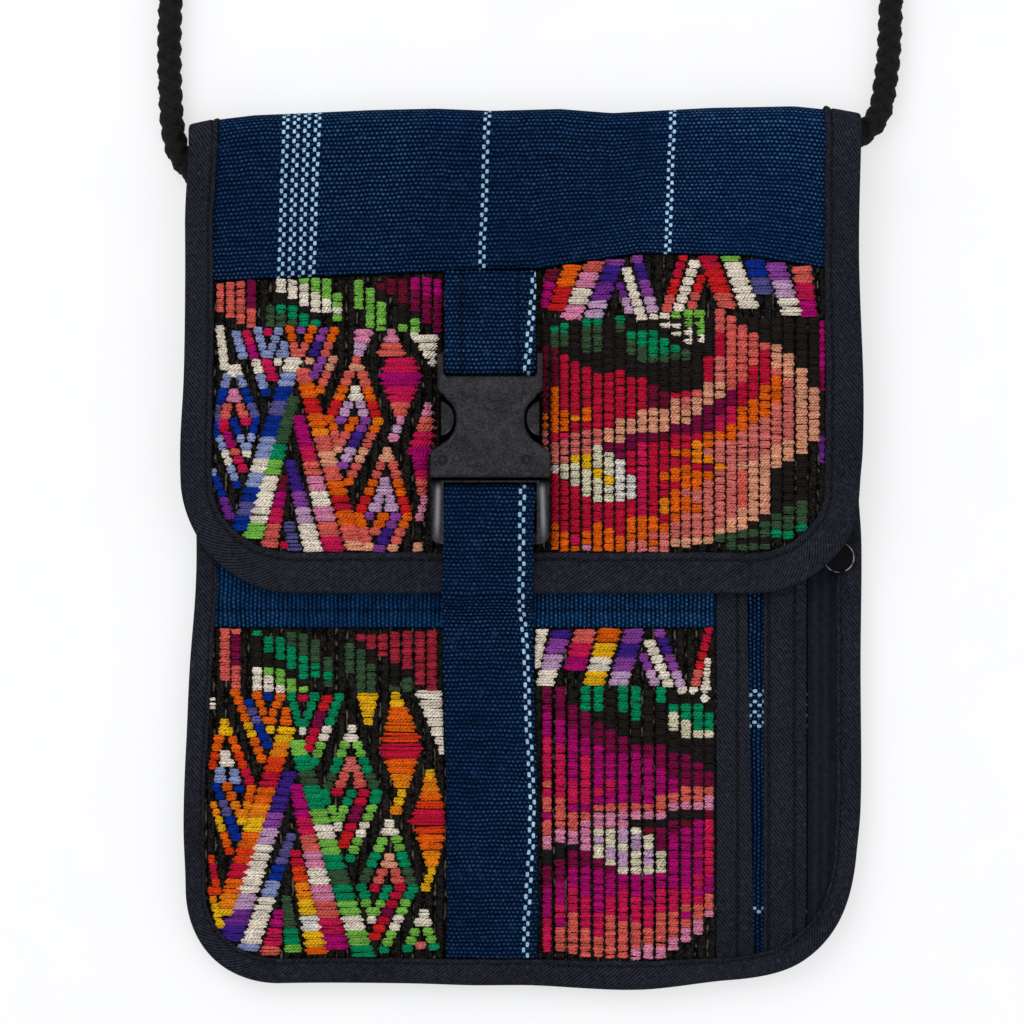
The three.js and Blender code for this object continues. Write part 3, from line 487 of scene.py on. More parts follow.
class Finish:
    """A material under construction: its places and noises, and the shader that they feed."""

    def __init__(self, name, roughness, specular):
        self.material = bpy.data.materials.new(name)
        self.material.use_nodes = True
        self.tree = self.material.node_tree
        self.shader = self.tree.nodes["Principled BSDF"]
        self.shader.inputs["Roughness"].default_value = roughness
        self.shader.inputs["Specular IOR Level"].default_value = specular

    def source(self, kind, output, **settings):
        """A node without inputs, by one of its outputs."""
        made = self.tree.nodes.new(kind)
        for key, value in settings.items():
            setattr(made, key, value)
        return Wire(self.tree, made.outputs[output])

    def flat(self):
        """The point's flat place in millimetres."""
        across, along, _ = self.source("ShaderNodeUVMap", 0, uv_map="flat").parts()
        return across, along

    def with_painted_shade(self, colour):
        """A colour times the piece's dye attribute: painted shade, as in a seam's furrow, and paler parts of
        the back.
        """
        dye = self.source("ShaderNodeAttribute", "Color", attribute_name="dye")
        return colour.node("ShaderNodeVectorMath", dye, operation="MULTIPLY")

    def place(self):
        """The point's place on the object, in metres."""
        return self.source("ShaderNodeTexCoord", "Object")

    def distance_from(self, middle):
        """The point's level distance in metres from a place in millimetres."""
        x, y, _ = self.place().parts()
        from_x, from_y = x - middle[0] * MM, y - middle[1] * MM
        return (from_x * from_x + from_y * from_y).maths("SQRT")

    def noise(self, scale, detail=2.0):
        """Even noise of so many grains a metre."""
        places = {"Vector": self.place(), "Scale": scale, "Detail": detail}
        return places["Vector"].node("ShaderNodeTexNoise", named=places)

    def finish(self, colour=None, height=None, distance=0.0003, strength=1.0, **others):
        """Joins the colour, the relief and any other share to the shader."""
        if colour is not None:
            self.tree.links.new(colour.socket, self.shader.inputs["Base Color"])
        if height is not None:
            places = {"Strength": strength, "Distance": distance, "Height": height}
            bump = height.node("ShaderNodeBump", named=places)
            self.tree.links.new(bump.socket, self.shader.inputs["Normal"])
        for name, share in others.items():
            self.tree.links.new(share.socket, self.shader.inputs[name.replace("_", " ").title()])
        return self.material


PAIR_STEP = 2.78


def indigo(name, group=None, pairs=(), dash=2.53, pitch=(1.2, 1.12), rib_tone=(8, 34, 74)):
    """Coarse plain weave: ribs of dark blue with a few paler dots, and stripes of paired white dots.

    The dots stand half a step apart in neighbouring ribs, each with its own chance of being pale, and slubs
    run along the ribs. The stripes run along the second flat axis: a group of four pairs, and single pairs.
    """
    cloth = Finish(name, 0.95, 0.015)
    across, along = cloth.flat()
    uneven = cloth.noise(420, 3)
    slow = cloth.noise(26, 3)
    steady_u = across + (cloth.noise(80, 1) - 0.5) * 0.7
    steady_v = along + (cloth.noise(60, 1) - 0.5) * 0.9
    u = steady_u + (cloth.noise(340, 1) - 0.5) * 1.1
    v = steady_v + (cloth.noise(260, 1) - 0.5) * 0.7
    row = v / pitch[1] + 0.5
    shift = row.maths("FLOOR") * 0.5
    rib = v.wave(pitch[1]) * 0.5 + 0.5
    thread = (u + shift * pitch[0]).wave(pitch[0]) * 0.5 + 0.5
    luck = (u / pitch[0] + shift + 0.5).chance(row)
    slub = (u * 0.09).streaks(v * 0.8)
    dot = thread.step(0.3, 1.0) * rib.step(0.25, 1.0)
    lint = uneven.step(0.6, 0.8) * 0.07
    bright = dot * (luck * 0.32 + 0.19) * (slow * 2.2 - 0.3) * (slub * 1.3 + 0.25) + lint
    ground = (rib * (slub * 0.8 + 0.2) * 0.8 + (uneven - 0.45) * 0.5 + 0.05).tint((1, 9, 25), rib_tone)
    colour = (bright * 0.85).tint(ground, (84, 134, 174))
    height = rib * 0.5 + dot * 0.3 + slub * 0.5
    starts = [] if group is None else [(group, 4)]
    for start, count in starts + [(place, 1) for place in pairs]:
        within = steady_u - (start - 0.5)
        inside = within.band(0, PAIR_STEP * count - 0.6, 0.05)
        local = within.cell(PAIR_STEP) * PAIR_STEP
        for place, lag in ((0.5, 0.0), (1.52, dash / 2)):
            far_u = ((local - place) / 0.48).maths("POWER", 2.0)
            from_dash = (steady_v + (lag + 0.3)).cell(dash) * dash - dash / 2
            far_v = (from_dash / (0.25 * dash)).maths("POWER", 2.0)
            white = (1 - (far_u * far_u + far_v * far_v).step(0.35, 1.0)) * inside
            pale = (uneven * 1.1).tint((88, 148, 190), (196, 225, 241))
            colour = (white * (slow * 0.8 + 0.5)).tint(colour, pale)
            height = height + white * 0.7
    return cloth.finish(cloth.with_painted_shade(colour), height, 0.00036, 0.9)


def twill(name, dark=(8, 9, 13), light=(62, 64, 76)):
    """Steep diagonal cords of a twill tape, each broken into short floats, with lint and wear."""
    tape = Finish(name, 0.92, 0.03)
    across, along = tape.flat()
    grain = tape.noise(1000, 3)
    slow = tape.noise(45, 3)
    u = across + (tape.noise(160, 2) - 0.5) * 0.5
    cord = (u + along * 0.78).wave(1.0) * 0.5 + 0.5
    pick = (along * 0.8 - u * 0.85).wave(0.64) * 0.5 + 0.5
    lines = cord * (pick * 0.7 + 0.3)
    lint = grain.step(0.6, 0.74) * 0.2
    shade = lines * 0.66 * (slow * 1.3 + 0.25) + (grain - 0.38) * 0.6 + lint + 0.03
    return tape.finish(tape.with_painted_shade(shade.tint(dark, light)), lines + grain * 0.5, 0.00028, 0.9)


def plain_tape(name):
    """Fine plain weave of black zip tape."""
    tape = Finish(name, 0.9, 0.03)
    across, along = tape.flat()
    grain = tape.noise(900, 3)
    weave = (across.wave(0.75) * along.wave(0.8)) * 0.5 + 0.5
    ribs = (across.wave(2.6) * 0.5 + 0.5) * 0.2
    colour = (weave * 0.45 + (grain - 0.3) * 0.6 + ribs).tint((6, 7, 10), (44, 47, 56))
    return tape.finish(colour, weave + grain * 0.5, 0.00024, 0.9)


def brocade_ground(name, column):
    """Black ground of the brocade: upright ropes of short picks, with paler warp ends between them."""
    cloth = Finish(name, 0.9, 0.04)
    across, along = cloth.flat()
    grain = cloth.noise(620, 3)
    u = across + (cloth.noise(50, 2) - 0.5) * 1.4
    rope = u.wave(column) * -0.5 + 0.5
    pick = (along + u * 0.45 + (cloth.noise(150, 2) - 0.5) * 1.1).wave(0.92) * 0.5 + 0.5
    between = (1 - rope).step(0.82, 1.0)
    ends = between * (across * 0.9).streaks(along * 0.4).step(0.5, 0.7)
    specks = cloth.noise(1300, 2)
    shade = rope.step(0.05, 0.6) * (pick * 0.25 + 0.2) + (grain - 0.5) * 0.9 + (specks - 0.5) * 1.6
    colour = (ends * 0.75).tint(shade.tint((3, 3, 3), (50, 46, 42)), (108, 100, 86))
    height = rope.step(0.0, 0.5) + pick * 0.4 + specks * 0.6 + ends * 0.5
    return cloth.finish(colour, height, 0.0006, 1.0)


def brocade_thread(name):
    """Soft yarn in its own dye: slanted plies, painted shade in the grooves between them, paler and darker
    stretches.
    """
    yarn = Finish(name, 0.8, 0.08)
    dye = yarn.source("ShaderNodeAttribute", "Color", attribute_name="dye")
    along, around = yarn.flat()
    fibre = yarn.noise(1500, 3)
    slow = yarn.noise(300, 2)
    ply = (along + around * 1.1 + (slow - 0.5) * 1.6).wave(0.98) * 0.5 + 0.5
    shade = ply.step(0.0, 0.7) * 0.55 + (fibre - 0.45) * 1.5 + slow * 0.55
    # Painted shade: the yarn's dye darkened, for the grooves between its plies.
    dark = dye.node("ShaderNodeVectorMath", (0.26, 0.19, 0.24), operation="MULTIPLY")
    return yarn.finish(shade.tint(dark, dye), ply + fibre * 0.9, 0.0004, 1.0)


def stitch_thread(name, colour):
    """Twisted sewing thread."""
    thread = Finish(name, 0.7, 0.12)
    twist = thread.noise(1800, 2)
    return thread.finish(twist.tint(tuple(0.5 * part for part in colour), colour), twist, 0.0001, 0.5)


def plastic(name, prong):
    """Moulded black plastic with a mottled grain, and rings of painted shade round two small dimples on the
    socket.

    The prong's tabs fill a round window each side of the socket down to a slanted line, with a painted
    highlight along that line and painted shadow in the gap round them and on their outer sides; its rails
    have a painted highlight along their middle, painted shade on their outer sides and a painted shadow under
    the socket. The socket has painted shade along its edges.
    """
    body = Finish(name, 0.5, 0.2)
    x, y, _ = body.place().parts()
    grain = body.noise(1900, 2)
    cloud = body.noise(170, 3)
    shade = (grain - 0.5) * 2.4 + (body.noise(620, 2) - 0.5) * 1.2 + cloud.step(0.3, 0.75) * 0.3 + 0.3
    height = grain + cloud * 0.4
    shadow_metallic = {}
    if prong:
        colour = shade.tint((9, 9, 11), (50, 49, 55))
        out = (x - STRAP_X * MM).maths("ABSOLUTE")
        far = ((out - 0.0143).maths("POWER", 2.0) + (y - 0.0342).maths("POWER", 2.0)).maths("SQRT")
        below = out * -0.906 + 0.0405 - y
        low = 1 - y.step(0.015, 0.0185)
        # Painted highlight along the middle of each rail.
        rail_highlight = (out + y * 0.03).band(0.0137, 0.0147, 0.0006) * low * y.step(0.0005, 0.008)
        # Painted highlight along each tab's slanted lower edge.
        edge = below.band(-0.0005, -0.0001, 0.0002) * (1 - low)
        # Painted shadow in the gap round each tab, below its slanted line and on its outer side.
        gap_shadow = far.step(0.0045, 0.0049).maths("MAXIMUM", below.step(-0.0001, 0.0002)) * y.step(0.0195, 0.0205)
        gap_shadow = gap_shadow.maths("MAXIMUM", out.step(0.0127, 0.0131) * (1 - low))
        # Painted shade on the rails' outer sides.
        outer_rail_shade = (out.step(0.0150, 0.0157) * 0.7) * low
        # All the painted shadow, with a painted shadow line along the prong's top under the socket.
        dark = gap_shadow.maths("MAXIMUM", outer_rail_shade).maths("MAXIMUM", y.band(0.0178, 0.0195, 0.0002))
        colour = (rail_highlight * 0.75 + edge * 0.6).tint(colour, (140, 139, 143))
        colour = dark.tint(colour, (2, 2, 2))
        # Metallic in the painted shadow keeps it dark.
        shadow_metallic = {"metallic": dark}
    else:
        # Rings of painted shade round the two dimples, also sunk by the bump.
        dimple_rings = sum(body.distance_from(place).band(0.0007, 0.00125, 0.0002) for place in DIMPLES)
        # The socket's painted edge shade comes in through its dye attribute.
        colour = body.with_painted_shade((shade - dimple_rings).tint((9, 9, 11), (53, 52, 58)))
        height = height - dimple_rings * 1.5
    return body.finish(colour, height, 0.00014, 0.9, roughness=cloud * 0.3 + 0.36, **shadow_metallic)


def glossy(name):
    """Gloss black pull with a thin bright rim of painted highlight, broken up by noise, and fine scratches.
    """
    body = Finish(name, 0.4, 0.06)
    # Painted highlight: a thin bright, partly metallic ring at the pull's rim.
    rim = body.distance_from(PULL_MIDDLE).band(0.0038, 0.0041, 0.0001)
    scratch_and_glint = body.noise(500, 3)
    colour = (rim * scratch_and_glint.step(0.35, 0.65)).tint((9, 9, 11), (150, 150, 158))
    return body.finish(colour, scratch_and_glint, 0.00003, 0.4, metallic=rim * 0.5)


def braid(name):
    """Black braided strands with fine fibres along them."""
    cord = Finish(name, 0.75, 0.12)
    along, around = cord.flat()
    fibre = (along * 0.8).streaks(around * 5.0, 3.0)
    slow = cord.noise(120, 2)
    return cord.finish((fibre * 0.8 + slow * 0.4 - 0.15).tint((3, 3, 4), (38, 35, 37)), fibre, 0.0004, 1.0)


# Charts of the brocade, drawn over the photo in its own pixels, 0.265 mm each, counted right and down.
# A run is a stack of blocks of thread from one place to another: x0 y0 x1 y1 w0 w1 and its dyes in order.
# A long row goes on in the indented lines below it.
FLAP_LEFT_RUNS = """
219.6 329.4 224.7 366.2 9 10 cream*6
235 368 235 374 13 15 cream*2
227.3 376.7 221.2 400 9 10 periwinkle*2 blue*2
240 376.7 255 414.5 8 10 periwinkle*2 blue*2 slate*2
234 392.5 234.4 399 10 15 pink*2
227.3 407 223.4 423.4 10 11 coral*2 hotpink
240.7 407 246.4 421.5 9 11 coral*2 hotpink
218.7 408.8 217.4 434 6 6 slate*2 blue*2
224 428 242.6 468.3 10 10 crimson magenta*2 coral hotpink*2
220 438.7 237.3 484.6 7.5 8.5 periwinkle*2 cream*2 periwinkle*2 blue
234.4 422.4 241 438.7 8 8 blue*2 periwinkle
256.4 420.5 251.7 437.7 8 8 blue*2 periwinkle
246.5 446.5 247 453.5 11 9 periwinkle cream
236.8 334 243 356 9.5 10 periwinkle*4
247.4 334 266 392.5 9.5 10 hotpink*2 magenta*2 cream*2 periwinkle*2 blue
258.4 331.3 262.7 346.6 9 8 periwinkle*3
267.4 354.3 267.4 354.3 13 13 periwinkle
279 331.3 272.7 347.6 9 8 periwinkle*3
284.7 345.7 283.2 354.3 8 13 periwinkle*2
268.4 332.3 268.4 332.3 9.5 9.5 hotpink
267.4 362.9 272.7 377.2 11 12 hotpink*3
278.4 362 278.4 362 8 8 cream
293.7 361.4 241 527 17 17 cream*2 periwinkle*2 blue*2 slate*2 blue*3 periwinkle*3 cream*2
    periwinkle*2 blue*2 slate*2 blue*2
290.4 329.4 294.2 346.6 9 8 orange*2 coral
298.5 353.3 298.5 353.3 15 15 coral
312.9 329.4 305.2 346.6 9 8 orange*2 coral
301.4 330.3 301.4 330.3 9 9 orchid
323.9 331.3 314.3 353.3 9 10 orchid*2 violet*2
322.4 360.5 314.3 375.3 9 10 orchid*3
310 361.4 310 361.4 9 9 peach
334.7 331.3 325.7 353.3 9 9 orange*2 coral*2
333.3 359.5 320.4 390 9 9 peach*2 coral*2 orange
302.8 372.4 356.3 551.6 16 19 coral*2 orange*2 red*2 orange*2 amber coral*2 peach*2 coral*2 orange*2
    red crimson orange*2 coral*2 peach*2
293.5 400 254 535 13 21 moss*6 emerald*2 lime*2 cream*6 lime*2
291 463.6 313.8 550.6 11 20 violet*4 orchid*2 lilac*2 cream*4
284.7 480 270.3 543 9 17 maroon*2 magenta*2 hotpink*2 coral*3
290 526.7 295 549 11 14 slate*3
284.7 545 284.7 545 8 8 crimson
299.5 419.5 334 548 13 22 magenta*4 hotpink*2 coral*2 pink*2 cream*2 pink*2 coral*2 hotpink*2
214.4 472 229.7 516 6 11 periwinkle blue*3 purple*3
364 333.2 359 353.3 18 10 pink*2 lilac*2
356.7 360 357.2 367.7 9 15 coral peach
349.6 374.4 330 419.5 11 11 coral*2 orange*2 red*2 orange
333.8 427.2 338.6 449.2 9 9 orange coral*2 peach
353.9 420.5 341.4 442.5 10 10 orange*2 coral*2
363 375.3 378.3 421.5 11 11 coral*2 orange*2 red*2 amber
375 428.7 349 481.7 10 10 orange coral*2 peach*2 coral*2 orange
355.8 390 356.3 397.3 10 15 cream*2
348.6 405 341.4 420 10 11 lilac*2 orchid
361 405 365.8 420.5 10 11 lilac*2 orchid
361.5 428.7 343.3 465.5 11 11 orchid violet*2 lilac*2 orchid
391.7 333 391.7 353.3 8.5 27 pink*2 coral*2
401 361.5 401 376.3 30 41 hotpink*2 magenta
401 383.4 400.7 413 37 14 magenta hotpink*2 coral*2
400.7 420.5 394 437.7 8 11 pink lilac pink
387.4 451 386.9 458.3 9 16 peach*2
380.7 466 362 508.5 9 11 coral*2 orange*2 red*2
393.6 465.5 406 509.5 10 11 coral*2 orange*2 red*2
385 481.3 385 490.4 10 16 lilac*2
379.2 499 375.4 507.6 10 13 lilac*2
390.3 499 391.7 507.6 10 14 lilac*2
359 516.2 368.7 546.8 11 11 orange*2 coral*2 peach
407.4 517 393 547.7 10 11 orange*2 coral*2 peach
369.7 516.2 369.7 516.2 9 9 orchid
383.5 516.7 375.4 531.5 12 11 orange*2 coral
396 516.7 379.2 548.7 11 13 orchid*2 violet*2 orchid
428.5 406 427 428 8 20 pink*2 coral*2
425.6 435.8 420.4 451 23 27 hotpink*2 magenta
421.3 458.2 422.3 491.3 18 10 magenta*2 hotpink coral*2
424.7 500 419.9 517 8 9 pink*3
418 545.8 418 552 9 12 peach*2
414.6 335 414.6 335 8 8 cream
426 339 432.8 363 25 9 cream*4
"""
POCKET_LEFT_RUNS = """
213 690 213 704 7 7 cream*2
235 693 261.4 758.7 9.5 10 orange*4 yellow*2 orange*3
248.5 703.5 267.5 744.8 10 11 blue slate*2 blue*3
257 695.7 263 711.3 10 8 orange*3
269.2 720.2 269.2 720.2 14 14 orange
280.4 696.8 273 712.4 10 8 orange*3
286 711.3 286 720.8 9 12 orange*2
268 696.8 268 696.8 10 10 blue
270.3 729.7 270.3 729.7 9 9 yellow
286.5 730.3 225 913 18 22 yellow*2 amber*2 redorange*2 crimson*2 orange*2 amber*2 yellow*2 orange*2
    redorange*2 crimson*2 orange*2 amber*2 yellow
224.6 723 225.7 732 9 14 yellow*2
219 739 213 765 10 8 orange*2 redorange*2
232.4 740.3 249 781 9 10 orange*2 redorange*2 crimson*2
251 789.5 247.4 805.6 10 9 orange*2 amber
241.9 814 241.9 821.8 14 10 amber yellow
226.8 787.2 235.2 805.6 10 10 orange*2 amber
216.2 787.2 236.3 837.4 8 12 blue*2 slate*2 blue*3
239 789.5 239 789.5 10 10 blue
220 771.5 220 779.4 10 12 periwinkle*2
234 772.7 234.6 780.5 10 12 periwinkle*2
225 754.8 226.8 763.2 10 14 cream*2
213.4 805.6 229 851.4 7 9 amber*2 yellow*2 orange*2 redorange
210.6 860 216.2 891.6 7 9 redorange crimson*2 redorange*2
209.4 891.6 219 925 7 10 redorange amber yellow*3
289.3 775 230 938.5 15 27 violet*5 orchid*2 lilac*2 cream*6 lilac*2 purple*2 violet*2
291 837 248 948.5 10 22 slate*4 blue*2 periwinkle*2 cream*6 periwinkle
278.7 914 270 952 11 20 magenta*2 hotpink*2 coral
286.5 899.4 292.6 949.6 10 17 moss*4 emerald*2 lime
295.4 853.6 316.6 952 12 22 crimson*2 redorange*2 amber*2 yellow*2 white*2 yellow*2 orange
296.5 788.3 335.9 947 14 26 magenta*4 hotpink*2 coral*2 pink*2 cream*2 pink*2 coral*2 hotpink*2
    magenta*2
297.7 743.7 363.8 957.4 17 22 lime*2 emerald*2 moss*2 emerald*3 lime*2 cream*2 lime*2 emerald*2
    moss*2 emerald*2 lime*2 cream*2 lime*2 emerald*2
291.5 696.8 296.5 714.6 9 8 emerald*3
302 722.5 302 722.5 14 14 emerald
314.4 696.8 308.3 714.6 10 8 emerald*3
303.2 698 303.2 698 10 10 crimson
302.7 730.8 302.7 730.8 7 7 cream
327 699 308.3 748 11 11 red*2 wine*2 crimson*3
339.2 696.8 314.4 761.5 10 10 emerald*4 cream*2 lime*2 emerald
352 729 351 738 9 14 cream*2
344.8 745 325 793 10 10 lime*2 emerald*2 moss*2 emerald
357.5 745 376.6 792.8 10 11 lime*2 emerald*2 moss*2 emerald
326.5 801 332 809 9 9 emerald lime
338 816.8 338 826.8 15 9 lime cream
351.5 793.3 343.7 809.5 10 10 emerald*2 lime
375 800 350.4 858 11 10 emerald lime*2 cream*2 lime*2 emerald
351 760.4 351.5 768.2 11 18 salmon*2
344.2 776 337.3 792 10 12 coral*2 crimson
358.7 776 359.9 783.8 10 13 coral*2
363.8 792.8 344.2 843.6 12 12 crimson*2 wine*2 crimson red*2
367.7 696.8 368.2 721.3 21 9 yellow*4
395.6 695.7 400 718 9 25 yellow*2 orange*2
400 727 401 748 31 44 orange redorange crimson
401 755.5 401.7 784 38 16 crimson orange*2 amber*2
401.7 793 396 810 9 12 yellow*2 amber
429.6 694.5 442 750 27 7 cream*7
430 773.8 430.7 797 9 22 yellow amber*2 orange
430 805 428.5 821 28 38 redorange crimson crimson
430.6 830 431.8 862.5 32 13 redorange orange*2 amber*2
431.8 870.4 425.7 887 8 10 yellow*3
389.4 823.5 390 831.9 10 18 cream*2
382.2 840.8 361.5 887 11 11 lime*2 emerald*2 moss*2 emerald
364.9 895 366 902.7 11 10 emerald lime
373.2 911.7 371.6 920 14 9 lime cream
387.2 888.8 380.5 903.8 10 10 emerald*2 lime
396.7 839 412.9 888.2 11 11 lime*2 emerald*2 moss*2 emerald
409 895 383.8 950.7 11 10 emerald lime*2 cream*2 lime*2 emerald
389.4 857 389.4 864.5 10 17 peach*2
382.2 872 375 888 11 10 coral*2 crimson
395.5 872 397.8 879.8 10 13 coral*2
400 887 375 937 12 12 crimson*3 wine crimson red*2
424 914 423 922.8 10 18 cream*2
414.5 932.5 407.3 949.6 10 11 lime*2 emerald
428 931.7 434 947.4 10 11 lime*2 emerald
420.7 946 420.7 946 11 11 salmon
"""
FLAP_RIGHT_RUNS = """
553 268 545 304 15 9 maroon*2 magenta*3
575 258.6 556.8 307.4 17 19 amber orange*3 red*3
596 260.5 571 317 20 20 coral*2 pink*2 cream*2 pink*2
615 261.5 594 314 19 19 orchid violet*2 purple*2 lilac*2
620 286.4 628.6 310.3 8 9 purple*2 lilac*2
626.7 271.5 641.5 319 10 11 cream*7
653.4 318 653.4 318 9 9 cream
664.4 317 665 325.6 10 10 cream*2
637.2 259.6 652 309.3 11 12 orchid violet*2 orchid*2 lilac*2
682.7 257 666.8 308.4 9 11 red crimson*2 red*2 coral*2
694 264.8 678.7 307.7 11 11 cream*6
675.6 316.3 676 333.7 9 9 lime cream*2
700.6 279.6 692 305.6 9.5 9.5 red*2 coral*2
699 314.3 700 338.8 11 10 lime*3 cream
688 314.3 687.6 340.8 9.5 9.5 lime*2 cream*2
707.8 258 726 305 19 19 crimson*2 red*3 coral*2
730 258 748 305 18 20 lime cream*6
754.7 264.3 762.3 290.8 20 19 blue*2 slate*2
776 267.3 791 311 21 21 orchid*2 lilac*2 cream*2
801.6 270.4 808.8 313.3 20 17 coral*2 hotpink*2 magenta*2
"""
POCKET_RIGHT_RUNS = """
542 631 537 664 12 8 cream*5
561 634 545.3 682 20 19 violet orchid*2 lilac*2 cream*2
585 633 575.3 667 22 21 coral*2 hotpink*2 magenta*2
609.6 632 594.3 682 22 22 orange*2 yellow*2 cream*2 yellow*2
634 632.4 618.8 682 20 20 orchid*2 violet*2 orchid*2 lilac*2
643.9 657.5 654.3 682 9 10 orchid*2 lilac*2
650 643.4 667.8 683.2 12 11 cream*6
682.4 690.6 682.4 690.6 10 10 cream
693.5 690.6 693.5 690.6 9 9 cream
705.7 689 705 698 10 10 cream*2
659.8 633 680 683.2 11 10 orchid violet*2 orchid*2 lilac*2
708.8 629.3 696 682 8 10 crimson*3 red*2 coral*2
707.5 662.4 706.3 682 7 7 cream*3
"""

# A column stands upright: its place, width, first line, then each dye and the line where it ends
FLAP_LEFT_COLUMNS = """
220 8 283 coral 312
230.5 9 282 coral 318
241 9 281 coral 324
251.8 9 280 wine 308 coral 328
271 9 306 moss 327
281.5 10 279 cream 293 black 305 emerald 313 moss 327
293 9.5 278 cream 299 black 305 emerald 320 moss 327
304.5 9.5 277 lime 284 cream 307 black 313 emerald 327
316 9.5 278 lime 292 cream 313 black 320 emerald 327
327 9.5 279 lime 299 cream 313
337.6 9.5 293 lime 307 cream 314 lime 322
359 9 280 lime 309
370.5 9 288 lime 329
381.5 9.5 284 maroon 291 black 302 lime 331
391.7 9.5 279 maroon 295
403 9.5 279 maroon 304 black 324 lime 332
415.3 9.5 278 magenta 290 wine 312 black 318 lime 332
427 9.5 278 magenta 296 wine 324
438 9 279 magenta 296 wine 333
"""
POCKET_LEFT_COLUMNS = """
213.6 8.5 626 coral 673
225.5 9.5 626 coral 681
235.8 9 626 coral 635 wine 665 coral 690
257 9.5 630 emerald 636 black 667 cream 691
268.6 10 636 emerald 653 black 667 lime 675 cream 692
280.4 9.5 637 emerald 660 black 669 lime 685 cream 693
291.5 9.5 632 moss 646 emerald 669 black 678 lime 693
303.5 9.5 633 moss 655 emerald 679 black 686 lime 693
315.5 9.5 640 moss 663 emerald 678
328 9.5 657 moss 671 emerald 680 moss 687
349.8 9.5 643 moss 673
361 9.5 634 garnet 642 black 649 moss 692
371.2 9.5 634 garnet 649 black 664 moss 692
382.8 10 634 garnet 656
395 10 632 garnet 663 black 686 moss 691
407.3 10 631 garnet 669 black 677 moss 692
420 10 631 garnet 684
432 10 630 garnet 690
440.8 5 630 garnet 690
"""
FLAP_RIGHT_COLUMNS = """
545 7 345 maroon 413 orange 430 salmon 451
554.5 8.5 326 emerald 333 moss 348 maroon 386 orange 433 crimson 442 salmon 465 white 473
    crimson 523 orange 549
564.3 8.5 323 emerald 333 moss 348 black 355 crimson 410 orange 432 hotpink 440 salmon 464 bone 480
    crimson 531 orange 551
575 9 361 crimson 415 amber 422 crimson 432 salmon 455 yellow 463 bone 486 crimson 536 hotpink 545
    orange 551
586.5 9 318 emerald 327 moss 353 black 367 crimson 407 orange 421 crimson 430 salmon 454 yellow 469
    bone 496 crimson 530 orange 544 pink 551
597.5 9 317 emerald 326 moss 352 black 373 crimson 429 salmon 445 bone 468 yellow 478 bone 503
    crimson 522 orange 551
608.8 9.5 373 crimson 428 peach 443 wine 452 bone 476 yellow 485 bone 502 crimson 528 orange 551
620 9.5 315 emerald 324 moss 333 black 370 crimson 418 peach 443 wine 459 white 501 crimson 535
    orange 552
631 9 331 emerald 339 moss 355 black 377 crimson 419 peach 434 wine 450 crimson 475 white 499
    crimson 517 orange 541 salmon 552
642 9.5 330 emerald 347 moss 363 black 377 crimson 410 peach 433 wine 442 hotpink 516 orange 540
    salmon 552
653 9.5 330 emerald 356 moss 363 black 384 maroon 408 peach 433 wine 442 crimson 516 orange 531
    coral 540 orange 546 salmon 552
664 9.5 338 emerald 355 moss 363 black 391 maroon 409 peach 432 maroon 441 crimson 472 orange 481
    crimson 498 amber 514 crimson 523 orange 532 salmon 552
675 9.5 345 emerald 353 moss 360 black 392 crimson 398 peach 424 wine 434 crimson 448 orange 457
    crimson 467 orange 482 crimson 489 orange 521 salmon 538 peach 547
685.7 9.5 350 moss 360 black 391 crimson 397 salmon 409 peach 424 wine 434 crimson 449 orange 457
    crimson 465 orange 489 salmon 497 orange 513 salmon 537 peach 547
696.6 10 390 coral 397 peach 415 wine 433 crimson 441 amber 463 crimson 471 orange 489 salmon 504
    orange 513 salmon 537 peach 545
708 10 356 crimson 382 peach 406 wine 432 orange 448 salmon 455 amber 464 wine 471 orange 480
    salmon 536 peach 544
719.6 10 309 coral 333 crimson 356 salmon 382 peach 399 wine 415 hotpink 431 orange 440 salmon 463
    amber 469 salmon 527 peach 534 moss 542
731 10 316 coral 390 wine 406 hotpink 424 orange 440 salmon 517 peach 533 moss 550
742 10 325 coral 382 crimson 406 orange 431 salmon 461 peach 470 coral 507 peach 530 moss 539
    black 543 moss 550
753 10 333 coral 366 crimson 399 orange 424 salmon 460 peach 521 black 529 moss 537 black 543
    moss 550
764.5 10.5 343 coral 350 crimson 385 orange 417 salmon 454 peach 514 black 521 moss 537 black 543
    moss 549
776 10.5 344 peach 369 coral 376 orange 402 salmon 445 peach 468 black 513 moss 529 emerald 538
788 11 353 peach 380 salmon 439 peach 461 black 506 moss 531 emerald 539
801.5 11.5 368 peach 454 black 500 moss 524 emerald 539
814 11 387 peach 441
822 6 320 magenta 370 wine 391 black 435 purple 462
"""
